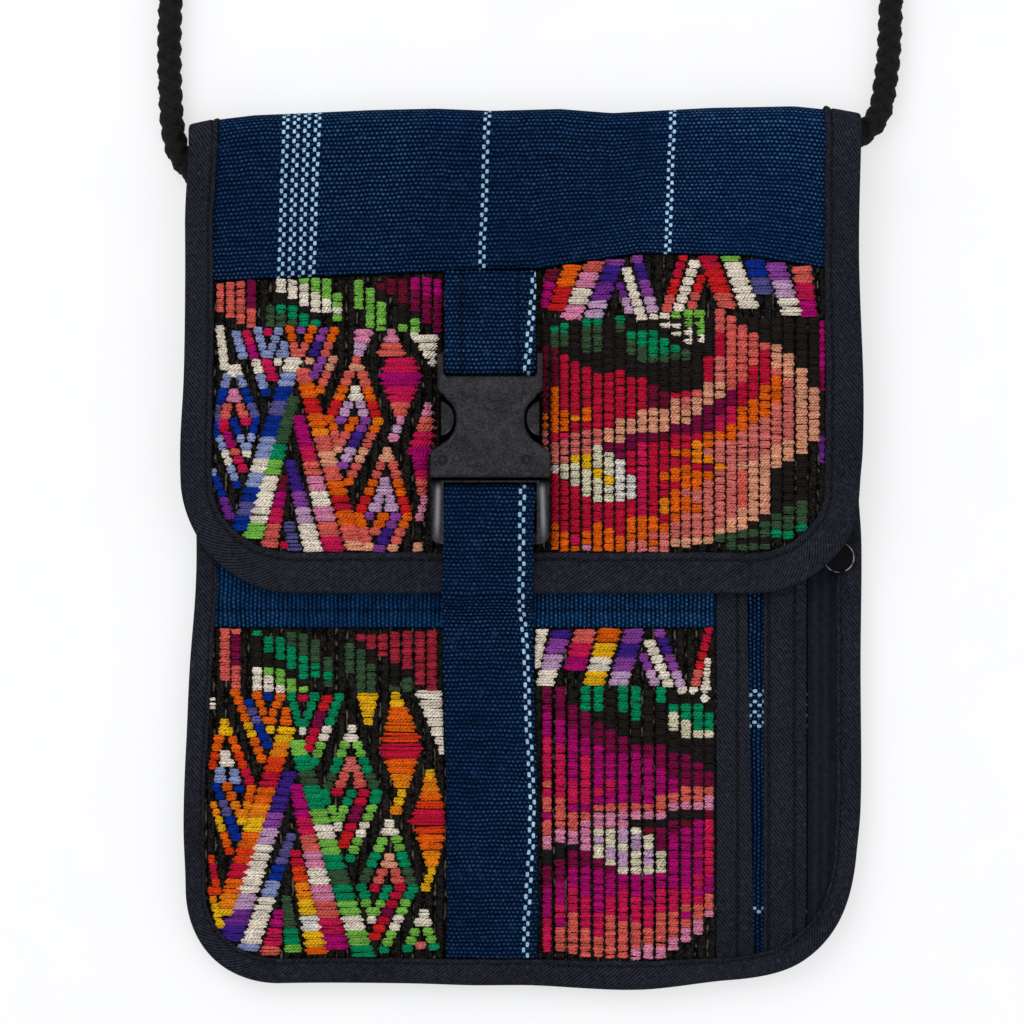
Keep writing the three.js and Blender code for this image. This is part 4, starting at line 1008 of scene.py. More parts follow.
POCKET_RIGHT_COLUMNS = """
537 5 687 maroon 701 magenta 744 hotpink 790 coral 860
547 9 687 wine 712 magenta 737 hotpink 780 coral 788 hotpink 797 coral 812 magenta 820 coral 835
    pink 850 black 865 wine 887 magenta 918 hotpink 953
560.3 10 686 wine 719 magenta 745 hotpink 797 coral 828 pink 843 black 859 wine 881 magenta 904
    hotpink 918 magenta 927 coral 952
573 10 704 wine 729 magenta 780 hotpink 804 magenta 812 coral 830 pink 844 black 850 wine 867
    magenta 887 hotpink 912 coral 954
585.5 10 686 emerald 711 wine 738 magenta 755 hotpink 804 magenta 812 coral 820 pink 851 wine 866
    magenta 896 hotpink 928 coral 957
598.6 10 686 emerald 711 black 721 wine 745 magenta 787 hotpink 796 magenta 804 coral 812 pink 828
    bone 836 lilac 844 bone 858 wine 869 magenta 912 hotpink 937 coral 956
610.5 10 729 wine 753 magenta 779 hotpink 790 magenta 803 coral 812 pink 828 bone 847 lilac 859
    bone 865 wine 873 magenta 896 hotpink 914 coral 957
623 10 686 emerald 712 black 736 wine 753 magenta 803 coral 811 pink 828 lilac 843 bone 851
    lilac 866 bone 874 magenta 889 hotpink 921 coral 957
636 10 686 emerald 720 black 745 wine 752 magenta 803 coral 811 pink 820 black 827 bone 835
    lilac 850 bone 874 magenta 896 hotpink 922 coral 948 pink 959
648.5 10 744 wine 759 magenta 803 coral 811 pink 820 black 827 maroon 834 bone 850 lilac 866
    bone 874 magenta 904 hotpink 928 coral 945 pink 958
661 10 687 emerald 703 black 744 wine 768 magenta 794 coral 812 pink 819 black 827 wine 850 bone 872
    magenta 888 hotpink 912 coral 946 pink 958
673.5 10 703 emerald 712 bone 730 black 752 wine 779 magenta 792 coral 802 pink 811 black 820
    wine 834 magenta 888 hotpink 911 coral 937 pink 951
686 10 703 emerald 720 bone 738 black 754 wine 786 coral 802 pink 810 black 820 maroon 827
    magenta 888 hotpink 904 coral 912 magenta 919 coral 928 pink 943
698.3 10 703 emerald 730 bone 738 black 762 wine 786 coral 802 pink 810 black 819 magenta 851
    hotpink 857 magenta 873 hotpink 888 magenta 896 hotpink 904 coral 919 pink 935
709 9 712 emerald 730 bone 738 black 771 wine 786 coral 795 pink 810 maroon 819 hotpink 876
    magenta 893 coral 910 pink 918
"""
CHART = (522.0, 548.0, 0.265)
DYE_NAMES = tuple(DYES)
DYE_LIGHT = np.array([screen(DYES[name]) for name in DYE_NAMES])
THREAD_PITCH = 2.65
LONE_BLOCK = 7.6
BLOCK_WIDTHS = np.array([0.98, 1.12, 0.98])
BLOCK_SHIFTS = np.array([0.14, 0.0, -0.14])
BLOCK_RISES = np.array([-0.09, 0.12, -0.09])


def chart_rows(table):
    """Rows of a chart as words, each with the indented lines that carry it on."""
    return [line.split() for line in table.replace("\n    ", " ").split("\n")[1:-1]]


def chart_runs(table):
    """Threads of a table of runs, three to a block: place, width, dye and rise."""
    rows = []
    for words in chart_rows(table):
        x0, y0, x1, y1, w0, w1 = (float(word) for word in words[:6])
        counts = [(word + "*1").split("*")[:2] for word in words[6:]]
        dyes = [DYE_NAMES.index(name) for name, count in counts for _ in range(int(count))]
        share = np.linspace(0, 1, len(dyes))
        step = abs(y1 - y0) / (len(dyes) - 1) if len(dyes) > 1 else LONE_BLOCK
        block = np.stack([mix(x0, x1, share), mix(y0, y1, share), mix(w0, w1, share), dyes, 0 * share], -1)
        third = np.repeat(block[:, None], 3, 1)
        third[:, :, 1] += np.array([-1, 0, 1]) * step * 0.3
        third[:, :, 2] *= BLOCK_WIDTHS
        third[:, :, 4] += BLOCK_RISES
        rows.append(third.reshape(-1, 5))
    return np.concatenate(rows)


def chart_columns(table, top=None):
    """Threads of a table of columns; above its first dye a column is black from the top line."""
    rows = []
    for words in chart_rows(table):
        x, width, start = (float(word) for word in words[:3])
        parts = list(zip(words[3::2], words[4::2]))
        if top is not None and start - top > THREAD_PITCH:
            parts = [("black", start), *parts]
            start = top
        for name, end in parts:
            run = float(end) - start
            count = max(1, round(run / THREAD_PITCH))
            y = start + (np.arange(count) + 0.5 + np.resize(BLOCK_SHIFTS, count)) * run / count
            rows.append(np.stack([np.full(count, x), y, width * np.resize(BLOCK_WIDTHS, count),
                                  np.full(count, DYE_NAMES.index(name)), np.resize(BLOCK_RISES, count)], -1))
            start = float(end)
    return np.concatenate(rows)


def strap_middle(y):
    """The straps' middle line, which sways a little to the sides."""
    return STRAP_X + np.interp(y, STRAP_Y, STRAP_SWAY)


def flap_top(x, y):
    """Height of the flap's upper face."""
    return flap_height(x, y) + CLOTH / 2


def pocket_top(x, y):
    """Height of the pocket's upper face."""
    return layer_height(POCKET, x, y) + CLOTH


def flap_room(x, y):
    """How far a place on the flap is inside its tape and its seam."""
    left = corner_distance(x + SIDE - FLAP_WING[0], y - FLAP_BOTTOM - FLAP_WING[2], 20)
    right = corner_distance(SIDE - FLAP_WING[1] - x, y - FLAP_BOTTOM - FLAP_WING[2], 19)
    return np.minimum(np.minimum(left, right), np.interp(x, SEAM_X, SEAM_Y) - y)


def pocket_room(x, y):
    """How far a place on the pocket is inside the binding, its right side and its hem."""
    left_edge = pouch_edge(np.maximum(y, -80))[0]
    left = corner_distance(x - left_edge - POUCH_WING[0], y - BOTTOM - POUCH_WING[2], 19)
    return np.minimum(np.minimum(left, POCKET_RIGHT - x), HEM_LINES[0] - y)


def thread_floats(chart, surface, room, seed):
    """Floats of yarn across the cloth: each leaves the ground, lies over it and goes back in.

    Along a float its middle line rises from the ground to a flat arch, tilts and bows a little by chance,
    and keeps clear of the strap; its section is a flattened ring of six points.
    """
    rng = np.random.default_rng(seed)
    x = (chart[:, 0] - CHART[0]) * CHART[2]
    y = (CHART[1] - chart[:, 1]) * CHART[2]
    keep = (room(x, y) > 0.35) & (np.abs(x - strap_middle(y)) > STRAP_HALF + 0.8)
    x, y, half = x[keep, None], y[keep, None], chart[keep, 2, None] * CHART[2] / 2
    dye = chart[keep, 3].astype(int)
    count = len(x)

    def chance(spread):
        return rng.normal(0, spread, (count, 1))

    share = np.array([-1, -0.9, -0.5, 0, 0.5, 0.9, 1])
    arch = np.array([-0.5, 0.1, 0.36, 0.42, 0.36, 0.1, -0.5])
    along = x + share * half * rng.uniform(0.95, 1.05, (count, 1))
    edge = STRAP_HALF + 0.3
    strap_line = strap_middle(y)
    left_of, right_of = np.minimum(along, strap_line - edge), np.maximum(along, strap_line + edge)
    along = np.where(x < strap_line, left_of, right_of)
    wave = chance(0.04) + chance(0.09) * share + chance(0.07) * (1 - share ** 2)
    across = y + (wave + rng.normal(0, 0.04, along.shape))
    reach, low, high = BUCKLE_COVERS
    under = (np.abs(along - STRAP_X) < reach) & (across > low) & (across < high) & (surface is flap_top)
    height = surface(along, across) + arch + chart[keep, 4, None] + chance(0.05) - 0.5 * under
    middle = np.stack([along, across, height], -1)
    turn = (np.arange(6) + 0.5) * TURN / 6
    ring = np.stack([np.zeros(6), 1.16 * np.cos(turn), 0.95 * np.sin(turn)], -1)
    ends = np.array([0.5, 0.86, 1, 1, 1, 0.86, 0.5])[:, None, None]
    thick = rng.uniform(0.36, 0.44, (count, 1, 1, 1)) * ends
    # Each thread's dye made paler by chance: partly a random tone, partly a painted highlight.
    light = DYE_LIGHT[dye][:, None] * rng.uniform(1.05, 1.5, (count, 1, 1))
    flat = np.stack(np.broadcast_arrays((along + rng.uniform(0, 9, (count, 1)))[..., None], turn * 0.38), -1)
    solid = sweep(middle[:, :, None] + thick * ring, flat)
    solid.colour = np.broadcast_to(light, (count, 7 * 6, 3)).reshape(-1, 3)
    return solid


# Sheets, tapes and straps
def seam_waver(along):
    """How far a line of stitches strays to a side."""
    return 0.15 * waver(along, 3)


def furrows(across, along, seams, width):
    """Depth from 0 to 1 of the furrows that lines of stitches press into a sheet."""
    dips = [np.exp(-((across - seam - seam_waver(along)) / width) ** 2) for seam in seams]
    return sum(dips, np.zeros_like(across))


def pouch_sheet(layer, thick, top, left=None, right=None, bottom=None, step=1.7, crown=0.0, turned=False,
                seams=(), level_seams=(), lean=0.0):
    """A sheet of the pouch between two sides at a layer's height.

    Rows are level lines from its bottom to its top, columns share the width between its sides; the upper
    face stands off the lower by the cloth's thickness, less towards the sides where it has a crown, and less
    in the furrow of each upright or level seam. The right side leans out towards the bottom.
    """
    floor = BOTTOM + EDGE_INSET if bottom is None else bottom
    y = np.linspace(floor, top, max(12, round((top - floor) / step)))[:, None]
    low, high = pouch_edge(y, EDGE_INSET)
    low = low if left is None else np.maximum(low, left)
    high = high if right is None else np.minimum(high, right + lean * (top - y) / (top - floor))
    wide = (SIDE if right is None else right) - (-SIDE if left is None else left)
    share = np.linspace(0, 1, max(13, round(wide / (0.3 if seams else step))))
    x = mix(low, high, share)
    y = np.broadcast_to(y, x.shape)
    furrow = furrows(x, y, seams, 0.38) + furrows(y, x, level_seams, 0.4)
    base = layer_height(layer, x, y)
    lift = mix(min(thick, CLOTH), thick, pouch_puff(x, y)) - crown * (2 * share - 1) ** 6 - 0.32 * furrow
    flat = np.stack([-y, x], -1) if turned else np.stack([x, y], -1)
    # Painted shade: the colour darkens in the furrow of each seam.
    return wall(np.stack([x, y, base + lift], -1), np.stack([x, y, base], -1), flat, 1 - 0.6 * furrow)


def back_and_flap():
    """The cloth of the back, the fold and the flap's top, down to a folded edge at the seam.

    Rows run up the back, round the fold and down the flap; columns share the width and lie closer beside the
    tape. The cloth is paler to the right and along the fold.
    """
    left, width = FLAP_SPAN
    beside_tape = np.array([-81.2, -80.8, -80.5, -80.1, -79.5, 79.3, 79.9, 80.3, 80.7, 81.2])
    share = np.sort(np.concatenate([np.linspace(0, 1, 100), (beside_tape - left) / width]))
    half = CLOTH / 2
    rows = []
    zones = {"back": np.linspace(BOTTOM + EDGE_INSET, 103, 44),
             "fold": np.linspace(-math.pi / 2, math.pi / 2, 21),
             "flap": np.linspace(0.04, 1, 40)}
    for zone, values in zones.items():
        for value in values:
            if zone == "back":
                edge = pouch_edge(value, EDGE_INSET)
            elif zone == "fold":
                low, high = pouch_edge(FOLD_LINE, EDGE_INSET), flap_edge(FOLD_LINE, EDGE_INSET)
                edge = [mix(a, b, fold_share(value)) for a, b in zip(low, high)]
            else:
                edge = flap_edge(FOLD_LINE, EDGE_INSET)
            x = mix(edge[0], edge[1], share)
            along, rise = value, 0.0
            if zone == "flap":
                seam = np.interp(x, SEAM_X, SEAM_Y) + GAP / 2
                along = mix(fold_start(x), seam, value)
                x = mix(*flap_edge(along, EDGE_INSET), share)
                ridge = 0.9 * ease(np.minimum(x + SIDE, SIDE - x), 12, 4)
                rise = ridge * (1 - ease(along, seam + 4.2, 2.8)) - 0.5 * ridge * (1 - ease(along, seam, 0.8))
                rise = rise + 0.22 * ridge * waver(x, 5, (23, 11, 6.1)) * ease(along, seam - 1, 5)
            rows.append((shell(zone, x, along, half + rise), shell(zone, x, along, -half)))
    upper = np.stack([row[0] for row in rows])
    lower = np.stack([row[1] for row in rows])
    along = along_line(upper[:, len(share) // 2])[:, None]
    slant, straight = STRIPE_SLANT
    flat = np.stack(np.broadcast_arrays(upper[..., 0] + slant * (along - straight), along), -1)
    return wall(upper, lower, flat, 1 + eased(PALER_RIGHT, upper[..., 0]) + eased(PALER_FOLD, upper[..., 1]))


def flap_panel():
    """The flap's brocade ground, from the seam down to the round corners."""
    bottom = FLAP_BOTTOM + EDGE_INSET
    top = SEAM_Y[0]
    close = bottom + np.array([0, 0.4, 1, 1.9, 3, 4.4, 6.2])
    level = np.concatenate([close, np.linspace(bottom + 8.4, top, 42)])
    edge = flap_edge(level[:, None], EDGE_INSET)
    x = mix(edge[0], edge[1], np.linspace(0, 1, 100))
    seam = np.interp(x, SEAM_X, SEAM_Y) - GAP / 2
    y = mix(bottom, seam, (level[:, None] - bottom) / (top - bottom))
    return wall(shell("flap", x, y, CLOTH / 2), shell("flap", x, y, -CLOTH / 2), np.stack([x, y], -1))


def tape_section(wing, room, count):
    """Section of a tape folded over an edge, for each station: a long U, round at its outer side.

    The first column is the distance inwards from the edge, the second the height from its middle; the upper
    wing's end is thinned as a pressed fold is, and it has a furrow where it is stitched.
    """
    inner, outer = room / 2, room / 2 + TAPE
    depth = min(2.0, 0.6 * outer)
    turn = np.linspace(-math.pi / 2, math.pi / 2, 9)
    bend = np.stack([depth * (fuller(np.cos(turn), 0.6) - 1), outer * fuller(np.sin(turn), 0.6)], -1)
    one = np.ones(count)
    wings = np.array([1, 0.95, 0.87, 0.82, 0.77, 0.68, 0.5])
    lower = np.stack([-wing[:, None] * wings, -outer * np.broadcast_to(one[:, None], (count, 7))], -1)
    upper = lower[:, ::-1] * np.array([1, -1])
    upper[:, -1, 1] -= 0.3
    upper[:, 3, 1] -= 0.28
    lower[:, 0, 1] += 0.3
    ends = np.stack([-wing, one * inner], -1)[:, None]
    web = np.broadcast_to(np.array([[-TAPE_WEB, inner], [-TAPE_WEB, -inner]]), (count, 2, 2))
    low_end = ends * np.array([1, -1])
    return np.concatenate([lower, np.broadcast_to(bend, (count, 9, 2)), upper, ends, web, low_end], 1)


def edge_stations(edge, bottom, corner, top_left, top_right, step=1.3):
    """Points round two sides and a bottom with round corners, each with its outward direction."""
    def side(start, end, which, out):
        y = np.linspace(start, end, round(abs(end - start) / step))
        return np.stack([edge(y)[which], y, np.full_like(y, out), np.zeros_like(y)], -1)

    def arc(x, radius, start):
        turn = np.linspace(start, start + math.pi / 2, round(radius * 1.57 / step))[1:-1]
        out = np.stack([np.cos(turn), np.sin(turn)], -1)
        return np.concatenate([np.array([x, bottom + radius]) + radius * out, out], -1)

    x = np.linspace(-SIDE + corner[0], SIDE - corner[1], round(120 / step))
    base = np.stack([x, np.full_like(x, bottom), np.zeros_like(x), -np.ones_like(x)], -1)
    left_arc = arc(-SIDE + corner[0], corner[0], math.pi)
    right_arc = arc(SIDE - corner[1], corner[1], 1.5 * math.pi)
    return np.concatenate([side(top_left, bottom + corner[0], 0, -1), left_arc, base, right_arc,
                           side(bottom + corner[1], top_right, 1, 1)])


def wing_width(widths, out):
    """Width of a tape's wing on the left, the right and the bottom, by its outward direction."""
    return (widths[0] * np.maximum(0, -out[:, 0]) ** 2 + widths[1] * np.maximum(0, out[:, 0]) ** 2
            + widths[2] * out[:, 1] ** 2)


# Points of a tape's section: its upper wing, the wing without its two ends, and the stitched furrow
WING_TOP = slice(15, 23)
WING_FLAT = slice(16, 22)
STITCH_POINT = 19


def tape_solid(rings, section):
    """A tape from its rings and sections, laid flat by the distance round its section and along it."""
    along = along_line(rings[:, 11])
    around = np.concatenate([np.zeros((len(section), 1)),
                             np.cumsum(np.linalg.norm(np.diff(section, axis=1), axis=2), axis=1)], 1)
    flat = np.stack([around, np.broadcast_to(-along[:, None], around.shape)], -1)
    solid = sweep(rings[None], flat)
    shade = np.ones((*around.shape, 3))
    # Painted shade along the stitched furrow of the tape.
    shade[:, STITCH_POINT] = 0.3
    solid.colour = shade.reshape(-1, 3)
    return solid


def pouch_binding():
    """Tape over the pouch's sides and bottom, and the line of its stitches."""
    station = edge_stations(pouch_edge, BOTTOM, POUCH_CORNER, 105.6, MOUTH)
    x, y, out = station[:, 0], station[:, 1], station[:, 2:]
    along = along_line(station[:, :2])
    section = tape_section(wing_width(POUCH_WING, out), EDGE_TOP - 2 * TAPE, len(station))
    section[:, WING_TOP, 0] += 0.22 * waver(along, 21)[:, None]
    section[:, WING_FLAT, 1] += 0.16 * waver(along, 22, (9.7, 6.1, 14))[:, None] - 0.14

    def place(o, n):
        return np.stack([x[:, None] + out[:, :1] * o, y[:, None] + out[:, 1:] * o, EDGE_TOP / 2 + n], -1)

    seam = section[:, STITCH_POINT:STITCH_POINT + 1]
    line = place(seam[..., 0], seam[..., 1] + 0.05)[:, 0]
    return tape_solid(place(section[..., 0], section[..., 1]), section), line


def flap_binding():
    """Tape over the flap's edge that goes on round both ends of the fold, and the line of its stitches."""
    flat = edge_stations(flap_edge, FLAP_BOTTOM, FLAP_CORNER, 104.5, 104.5)
    turns = np.linspace(-math.pi / 2, math.pi / 2, 17)
    low, high = pouch_edge(FOLD_LINE), flap_edge(FOLD_LINE)
    level = np.zeros_like(turns)
    fold = [np.stack([mix(low[k], high[k], fold_share(turns)), turns, level + (2 * k - 1), level], -1)
            for k in (0, 1)]
    parts = [("fold", fold[0]), ("flap", flat), ("fold", fold[1][::-1])]
    station = np.concatenate([part for _, part in parts])
    along = np.arange(len(station)) * 1.3
    taper = 0.76 + 0.24 * fold_share(turns)
    narrow = np.concatenate([taper, np.ones(len(flat)), taper[::-1]])
    section = tape_section(wing_width(FLAP_WING, station[:, 2:]) * narrow, CLOTH + 2 * GAP, len(station))
    section[:, WING_TOP, 0] += 0.25 * waver(along, 31)[:, None]
    section[:, WING_FLAT, 1] += 0.13 * waver(along, 32, (9.1, 5.7, 13))[:, None]

    def place(o, n):
        rings, start = [], 0
        for zone, part in parts:
            rows = slice(start, start + len(part))
            start += len(part)
            across = part[:, :1] + part[:, 2:3] * o[rows]
            rings.append(shell(zone, across, part[:, 1:2] + part[:, 3:] * o[rows], n[rows]))
        return np.concatenate(rings)

    seam = section[:, STITCH_POINT:STITCH_POINT + 1]
    line = place(seam[..., 0], seam[..., 1] + 0.05)[:, 0]
    return tape_solid(place(section[..., 0], section[..., 1]), section), line[12:-12]


STRAP_COLUMNS = np.array([-12, -11.9, -11.5, -10.8, -9.6, -8.4, -7.95, -7.6, -7.25, -6.6, -4.5, -2, 0.5, 3, 5,
                          6.4, 6.95, 7.3, 7.65, 8.2, 9.4, 10.6, 11.5, 11.9, 12])


def strap(line, seed):
    """A strap of folded cloth along a line in y and z, with soft edges and grooves where it is stitched."""
    path = resampled(line, 0.9)
    ahead = np.gradient(path, axis=0)
    ahead /= np.linalg.norm(ahead, axis=1, keepdims=True)
    normal = np.stack([-ahead[:, 1], ahead[:, 0]], -1)
    x = STRAP_COLUMNS
    along = along_line(path)
    half = STRAP / 2 * (1 - 0.55 * ease(np.abs(x), 11.0, 1.0)) * np.ones((len(path), 1))
    groove = 0.2 * sum(np.exp(-((x - seam) / 0.4) ** 2) for seam in STRAP_SEAMS)
    top = half - groove + 0.05 * waver(along, seed)[:, None] * (1 - np.abs(x) / STRAP_HALF)
    side = 0.18 * waver(along, seed + 1)[:, None] * np.abs(x) / STRAP_HALF

    def face(out):
        spread = path[:, None] + normal[:, None] * out[..., None]
        return np.concatenate([(strap_middle(path[:, :1]) + x + side)[..., None], spread], -1)

    stripe = np.interp(path[:, :1], STRAP_Y, STRIPE_SWAY)
    flat = np.stack(np.broadcast_arrays(x - stripe, -along[:, None]), -1)
    # Painted shade: the colour darkens in the stitched grooves.
    return wall(face(top), face(-half), flat, 1 - 2.8 * groove * np.ones((len(path), 1))), path, normal


def loop_round(y, reach, full=1.0):
    """Half a turn of a strap round a bar; a lower power makes it fuller."""
    turn = np.linspace(-math.pi / 2, math.pi / 2, 11)
    return list(zip(y + reach * fuller(np.cos(turn), full),
                    BAR_MIDDLE + LOOP_REACH[1] * fuller(np.sin(turn), full)))


def upper_strap_line():
    """From the flap's seam under the socket's bar, round it and back up to the seam."""
    low = STRAP_LOW + STRAP / 2
    high = STRAP_HIGH + STRAP / 2
    meets = low + STRAP + GAP
    seam = float(np.interp(STRAP_X, SEAM_X, SEAM_Y)) - 0.1
    drops = ((4, 0.14), (8, 0.5), (12, 0.93), (17, 1))
    down = [(SOCKET_BAR + above, mix(high, meets, share)) for above, share in drops]
    return [(seam, low), (62, low), (54, low), *loop_round(SOCKET_BAR, -4.5, 0.62), *down, (seam, meets)]


def lower_strap_line():
    """From under the prong's bar, round it, over the flap's edge and down the pocket to the bottom."""
    def on_pocket(y, thick):
        return float(layer_height(POCKET, STRAP_X, y)) + thick + GAP + STRAP / 2

    low = STRAP_LOW + STRAP / 2
    high = STRAP_HIGH + STRAP / 2
    over = FLAP_TOP + GAP + TAPE + GAP + STRAP / 2
    hem = on_pocket(HEM_LINES[0], HEM_CLOTH)
    flap = [(y, mix(high, over, share)) for y, share in ((-2.5, 0.45), (-6, 0.9), (-9.5, 1), (-12.6, 1))]
    land = [(y, mix(over, hem, share)) for y, share in ((-15, 0.5), (-18, 1))]
    down = [(y, on_pocket(y, CLOTH)) for y in (-25, -40, -60, -80, -91, -95, -99, -103, -106.5, -109)]
    return [(3.9, low), (8, low), *loop_round(PRONG_BAR, LOOP_REACH[0]), (6, high), (0.8, high),
            *flap, *land, *down]


# Half the socket's width at some places along it, and where its face drops
SOCKET_Y = (18.6, 25.0, 25.6, 26.8, 28.6, 30.8, 32.5, 34.3, 36.0, 37.3, 38.6, 39.6, 40.2, 40.9, 41.8, 52.0)
SOCKET_HALF = (15.9, 15.9, 15.4, 13.4, 11.1, 9.6, 9.1, 9.0, 9.2, 9.7, 10.7, 12.0, 13.0, 13.7, 13.9, 13.9)
SOCKET_ENDS = (18.6, 45.4)
SOCKET_FACES = (12.5, 20.0)
SOCKET_ROOM = (14.2, 18.3)
SOCKET_RIM = 1.1
SOCKET_FACE_Y = (18.6, 30.0, 41.4, 45.4)
SOCKET_FACE_DROP = (0.1, 0.0, 0.25, 1.3)


def socket_plate(top):
    """One plate of the socket, its outer face rounded down along every edge.

    The half width follows the table, softened; a point's distance from the nearest edge gives how far the
    face sinks, as a quarter circle.
    """
    y = mix(*SOCKET_ENDS, np.sin(np.linspace(-1, 1, 80) * math.pi / 2)[:, None] * 0.5 + 0.5)
    half = np.mean([np.interp(y + shift, SOCKET_Y, SOCKET_HALF) for shift in np.linspace(-0.6, 0.6, 9)], 0)
    half = half - 0.9 * (1 - np.sqrt(1 - np.clip(1 - (y - SOCKET_ENDS[0]) / 0.9, 0, 1) ** 2))
    x = np.sin(np.linspace(-1, 1, 51) * math.pi / 2) * half
    slope = np.gradient(half[:, 0], y[:, 0])[:, None]
    slot = SOCKET_ENDS[1] + 0.9 * ease(np.abs(x), 11.2, 1.2) ** 2
    y = mix(SOCKET_ENDS[0], slot, (y - SOCKET_ENDS[0]) / (SOCKET_ENDS[1] - SOCKET_ENDS[0]))
    from_side = (half - np.abs(x)) / np.sqrt(1 + np.clip(slope, -4, 4) ** 2)
    inside = np.minimum(from_side, np.minimum(y - SOCKET_ENDS[0], slot - y))
    sunk = SOCKET_RIM * (1 - np.sqrt(1 - np.clip(1 - inside / SOCKET_RIM, 0, 1) ** 2))
    if top:
        outer = SOCKET_FACES[1] - np.interp(y, SOCKET_FACE_Y, SOCKET_FACE_DROP) - sunk
        inner = np.minimum(SOCKET_ROOM[1], outer - 0.3)
    else:
        outer = SOCKET_FACES[0] + 0.5 * sunk
        inner = np.full_like(x, SOCKET_ROOM[0])
    faces = [np.stack([STRAP_X + x, y, z], -1) for z in (outer, inner)]
    # Painted shade: the colour darkens where the face rounds down at its edges.
    return wall(*faces, np.stack([x, y], -1), 1 - 0.6 * (sunk / SOCKET_RIM) ** 0.7)


def rounded_bars(table):
    """Bars along y with a soft rectangular section: middle and half width in x, ends in y, and faces in z."""
    x, half, start, end, low, high = (column[:, None, None] for column in np.array(table, float).T)
    a = np.arange(24) * TURN / 24
    share = np.array([0, 0.0, 0.03, 0.12, 0.5, 0.88, 0.97, 1, 1])[:, None]
    size = np.array([0.02, 0.86, 0.95, 1, 1, 1, 0.95, 0.86, 0.02])[:, None]
    along = np.broadcast_to(mix(start, end, share), (len(table), 9, 24))
    across = STRAP_X + x + half * size * fuller(np.cos(a), 0.35)
    height = (low + high) / 2 + (high - low) / 2 * size * fuller(np.sin(a), 0.35)
    rings = np.stack([across, along, height], -1)
    solid = sweep(rings, np.zeros((rings[..., 0].size, 2)))
    # The bars take 0.7 of the plastic's colour, darker than the middle of the plates' faces.
    solid.colour = np.full((rings[..., 0].size, 3), 0.7)
    return solid


def buckle_socket():
    """The socket: a face and a back plate, walls at its lower end, the block behind its slot, arms, bar."""
    walls = [(side * 15.05, 0.75, 18.7, 25.4, 13.2, 19.2) for side in (-1, 1)]
    arms = [(side * 13.1, 0.82, 41.6, 51.5, 13.2, 18.5) for side in (-1, 1)]
    block = (0, 13.3, 43.4, 45.3, 13.2, 18.7)
    bar = (0, 12.6, 49.5, 51.5, 13.85, 16.45)
    return joined([socket_plate(True), socket_plate(False), rounded_bars([*walls, *arms, block, bar])])


def braided_cord():
    """Six plump strands round a core, three each way, passing over and under each other.

    A strand's middle line turns round the cord's path once in a pitch, and its distance from the path swings
    out where it crosses over and in where it crosses under; its section is an ellipse.
    """
    path = resampled(np.stack([CORD_X, CORD_Y], -1), 0.85)
    s = along_line(path)
    ahead = np.gradient(path, s, axis=0)
    ahead = np.concatenate([ahead / np.linalg.norm(ahead, axis=1, keepdims=True), np.zeros((len(s), 1))], 1)
    side = np.stack([-ahead[:, 1], ahead[:, 0], np.zeros(len(s))], -1)
    up = np.array([0, 0, 1.0])
    centre = np.concatenate([path, np.full((len(s), 1), CORD_Z)], 1)
    hand = np.repeat([1, -1], 3)[:, None]
    start = (np.arange(6) % 3 * TURN / 3)[:, None]
    turn = hand * TURN * s / CORD_PITCH + start
    reach = STRAND_REACH[0] + STRAND_REACH[1] * hand * np.cos(3 * TURN * s / CORD_PITCH)
    out = np.cos(turn)[..., None] * side + np.sin(turn)[..., None] * up
    round_ = -np.sin(turn)[..., None] * side + np.cos(turn)[..., None] * up
    strand_ahead = ahead + (hand * TURN * STRAND_REACH[0] / CORD_PITCH)[..., None] * round_
    wide = np.cross(strand_ahead, out)
    wide /= np.linalg.norm(wide, axis=-1, keepdims=True)
    a = np.arange(8) * TURN / 8
    ring = (STRAND_HALF[0] * np.cos(a)[:, None] * wide[:, :, None]
            + STRAND_HALF[1] * np.sin(a)[:, None] * out[:, :, None])
    place = np.stack(np.broadcast_arrays(np.broadcast_to(s, reach.shape)[..., None], a * 1.2), -1)
    strands = sweep((centre + reach[..., None] * out)[:, :, None] + ring, place)
    core = centre[:, None] + CORE_RADIUS * (np.cos(a)[:, None] * side[:, None] + np.sin(a)[:, None] * up)
    return joined([strands, sweep(core[None], np.zeros((len(s) * 8, 2)))]), centre, s[-1]


# Settings, operators and panel
class BagThread(bpy.types.PropertyGroup):
    """How the yarn and the stitches are laid."""

    seed: bpy.props.IntProperty(
        name="Seed", description="Start of the chance in the lie of the yarn", default=11)
    stitch: bpy.props.FloatProperty(
        name="Stitch", description="Length of one stitch and its gap", default=0.0027, unit="LENGTH")


class BagStage(bpy.types.PropertyGroup):
    """Light and camera."""

    key: bpy.props.FloatProperty(
        name="Key light", description="Power of the large soft light", default=7.0, unit="POWER")
    fill: bpy.props.FloatProperty(
        name="Fill light", description="Strength of the even light all round", default=0.7, subtype="FACTOR")
    glow: bpy.props.FloatProperty(
        name="Floor glow", description="Even light that the floor gives by itself", default=0.58,
        subtype="FACTOR")
    height: bpy.props.FloatProperty(
        name="Camera height", description="Height of the camera above the surface", default=1.893,
        unit="LENGTH")


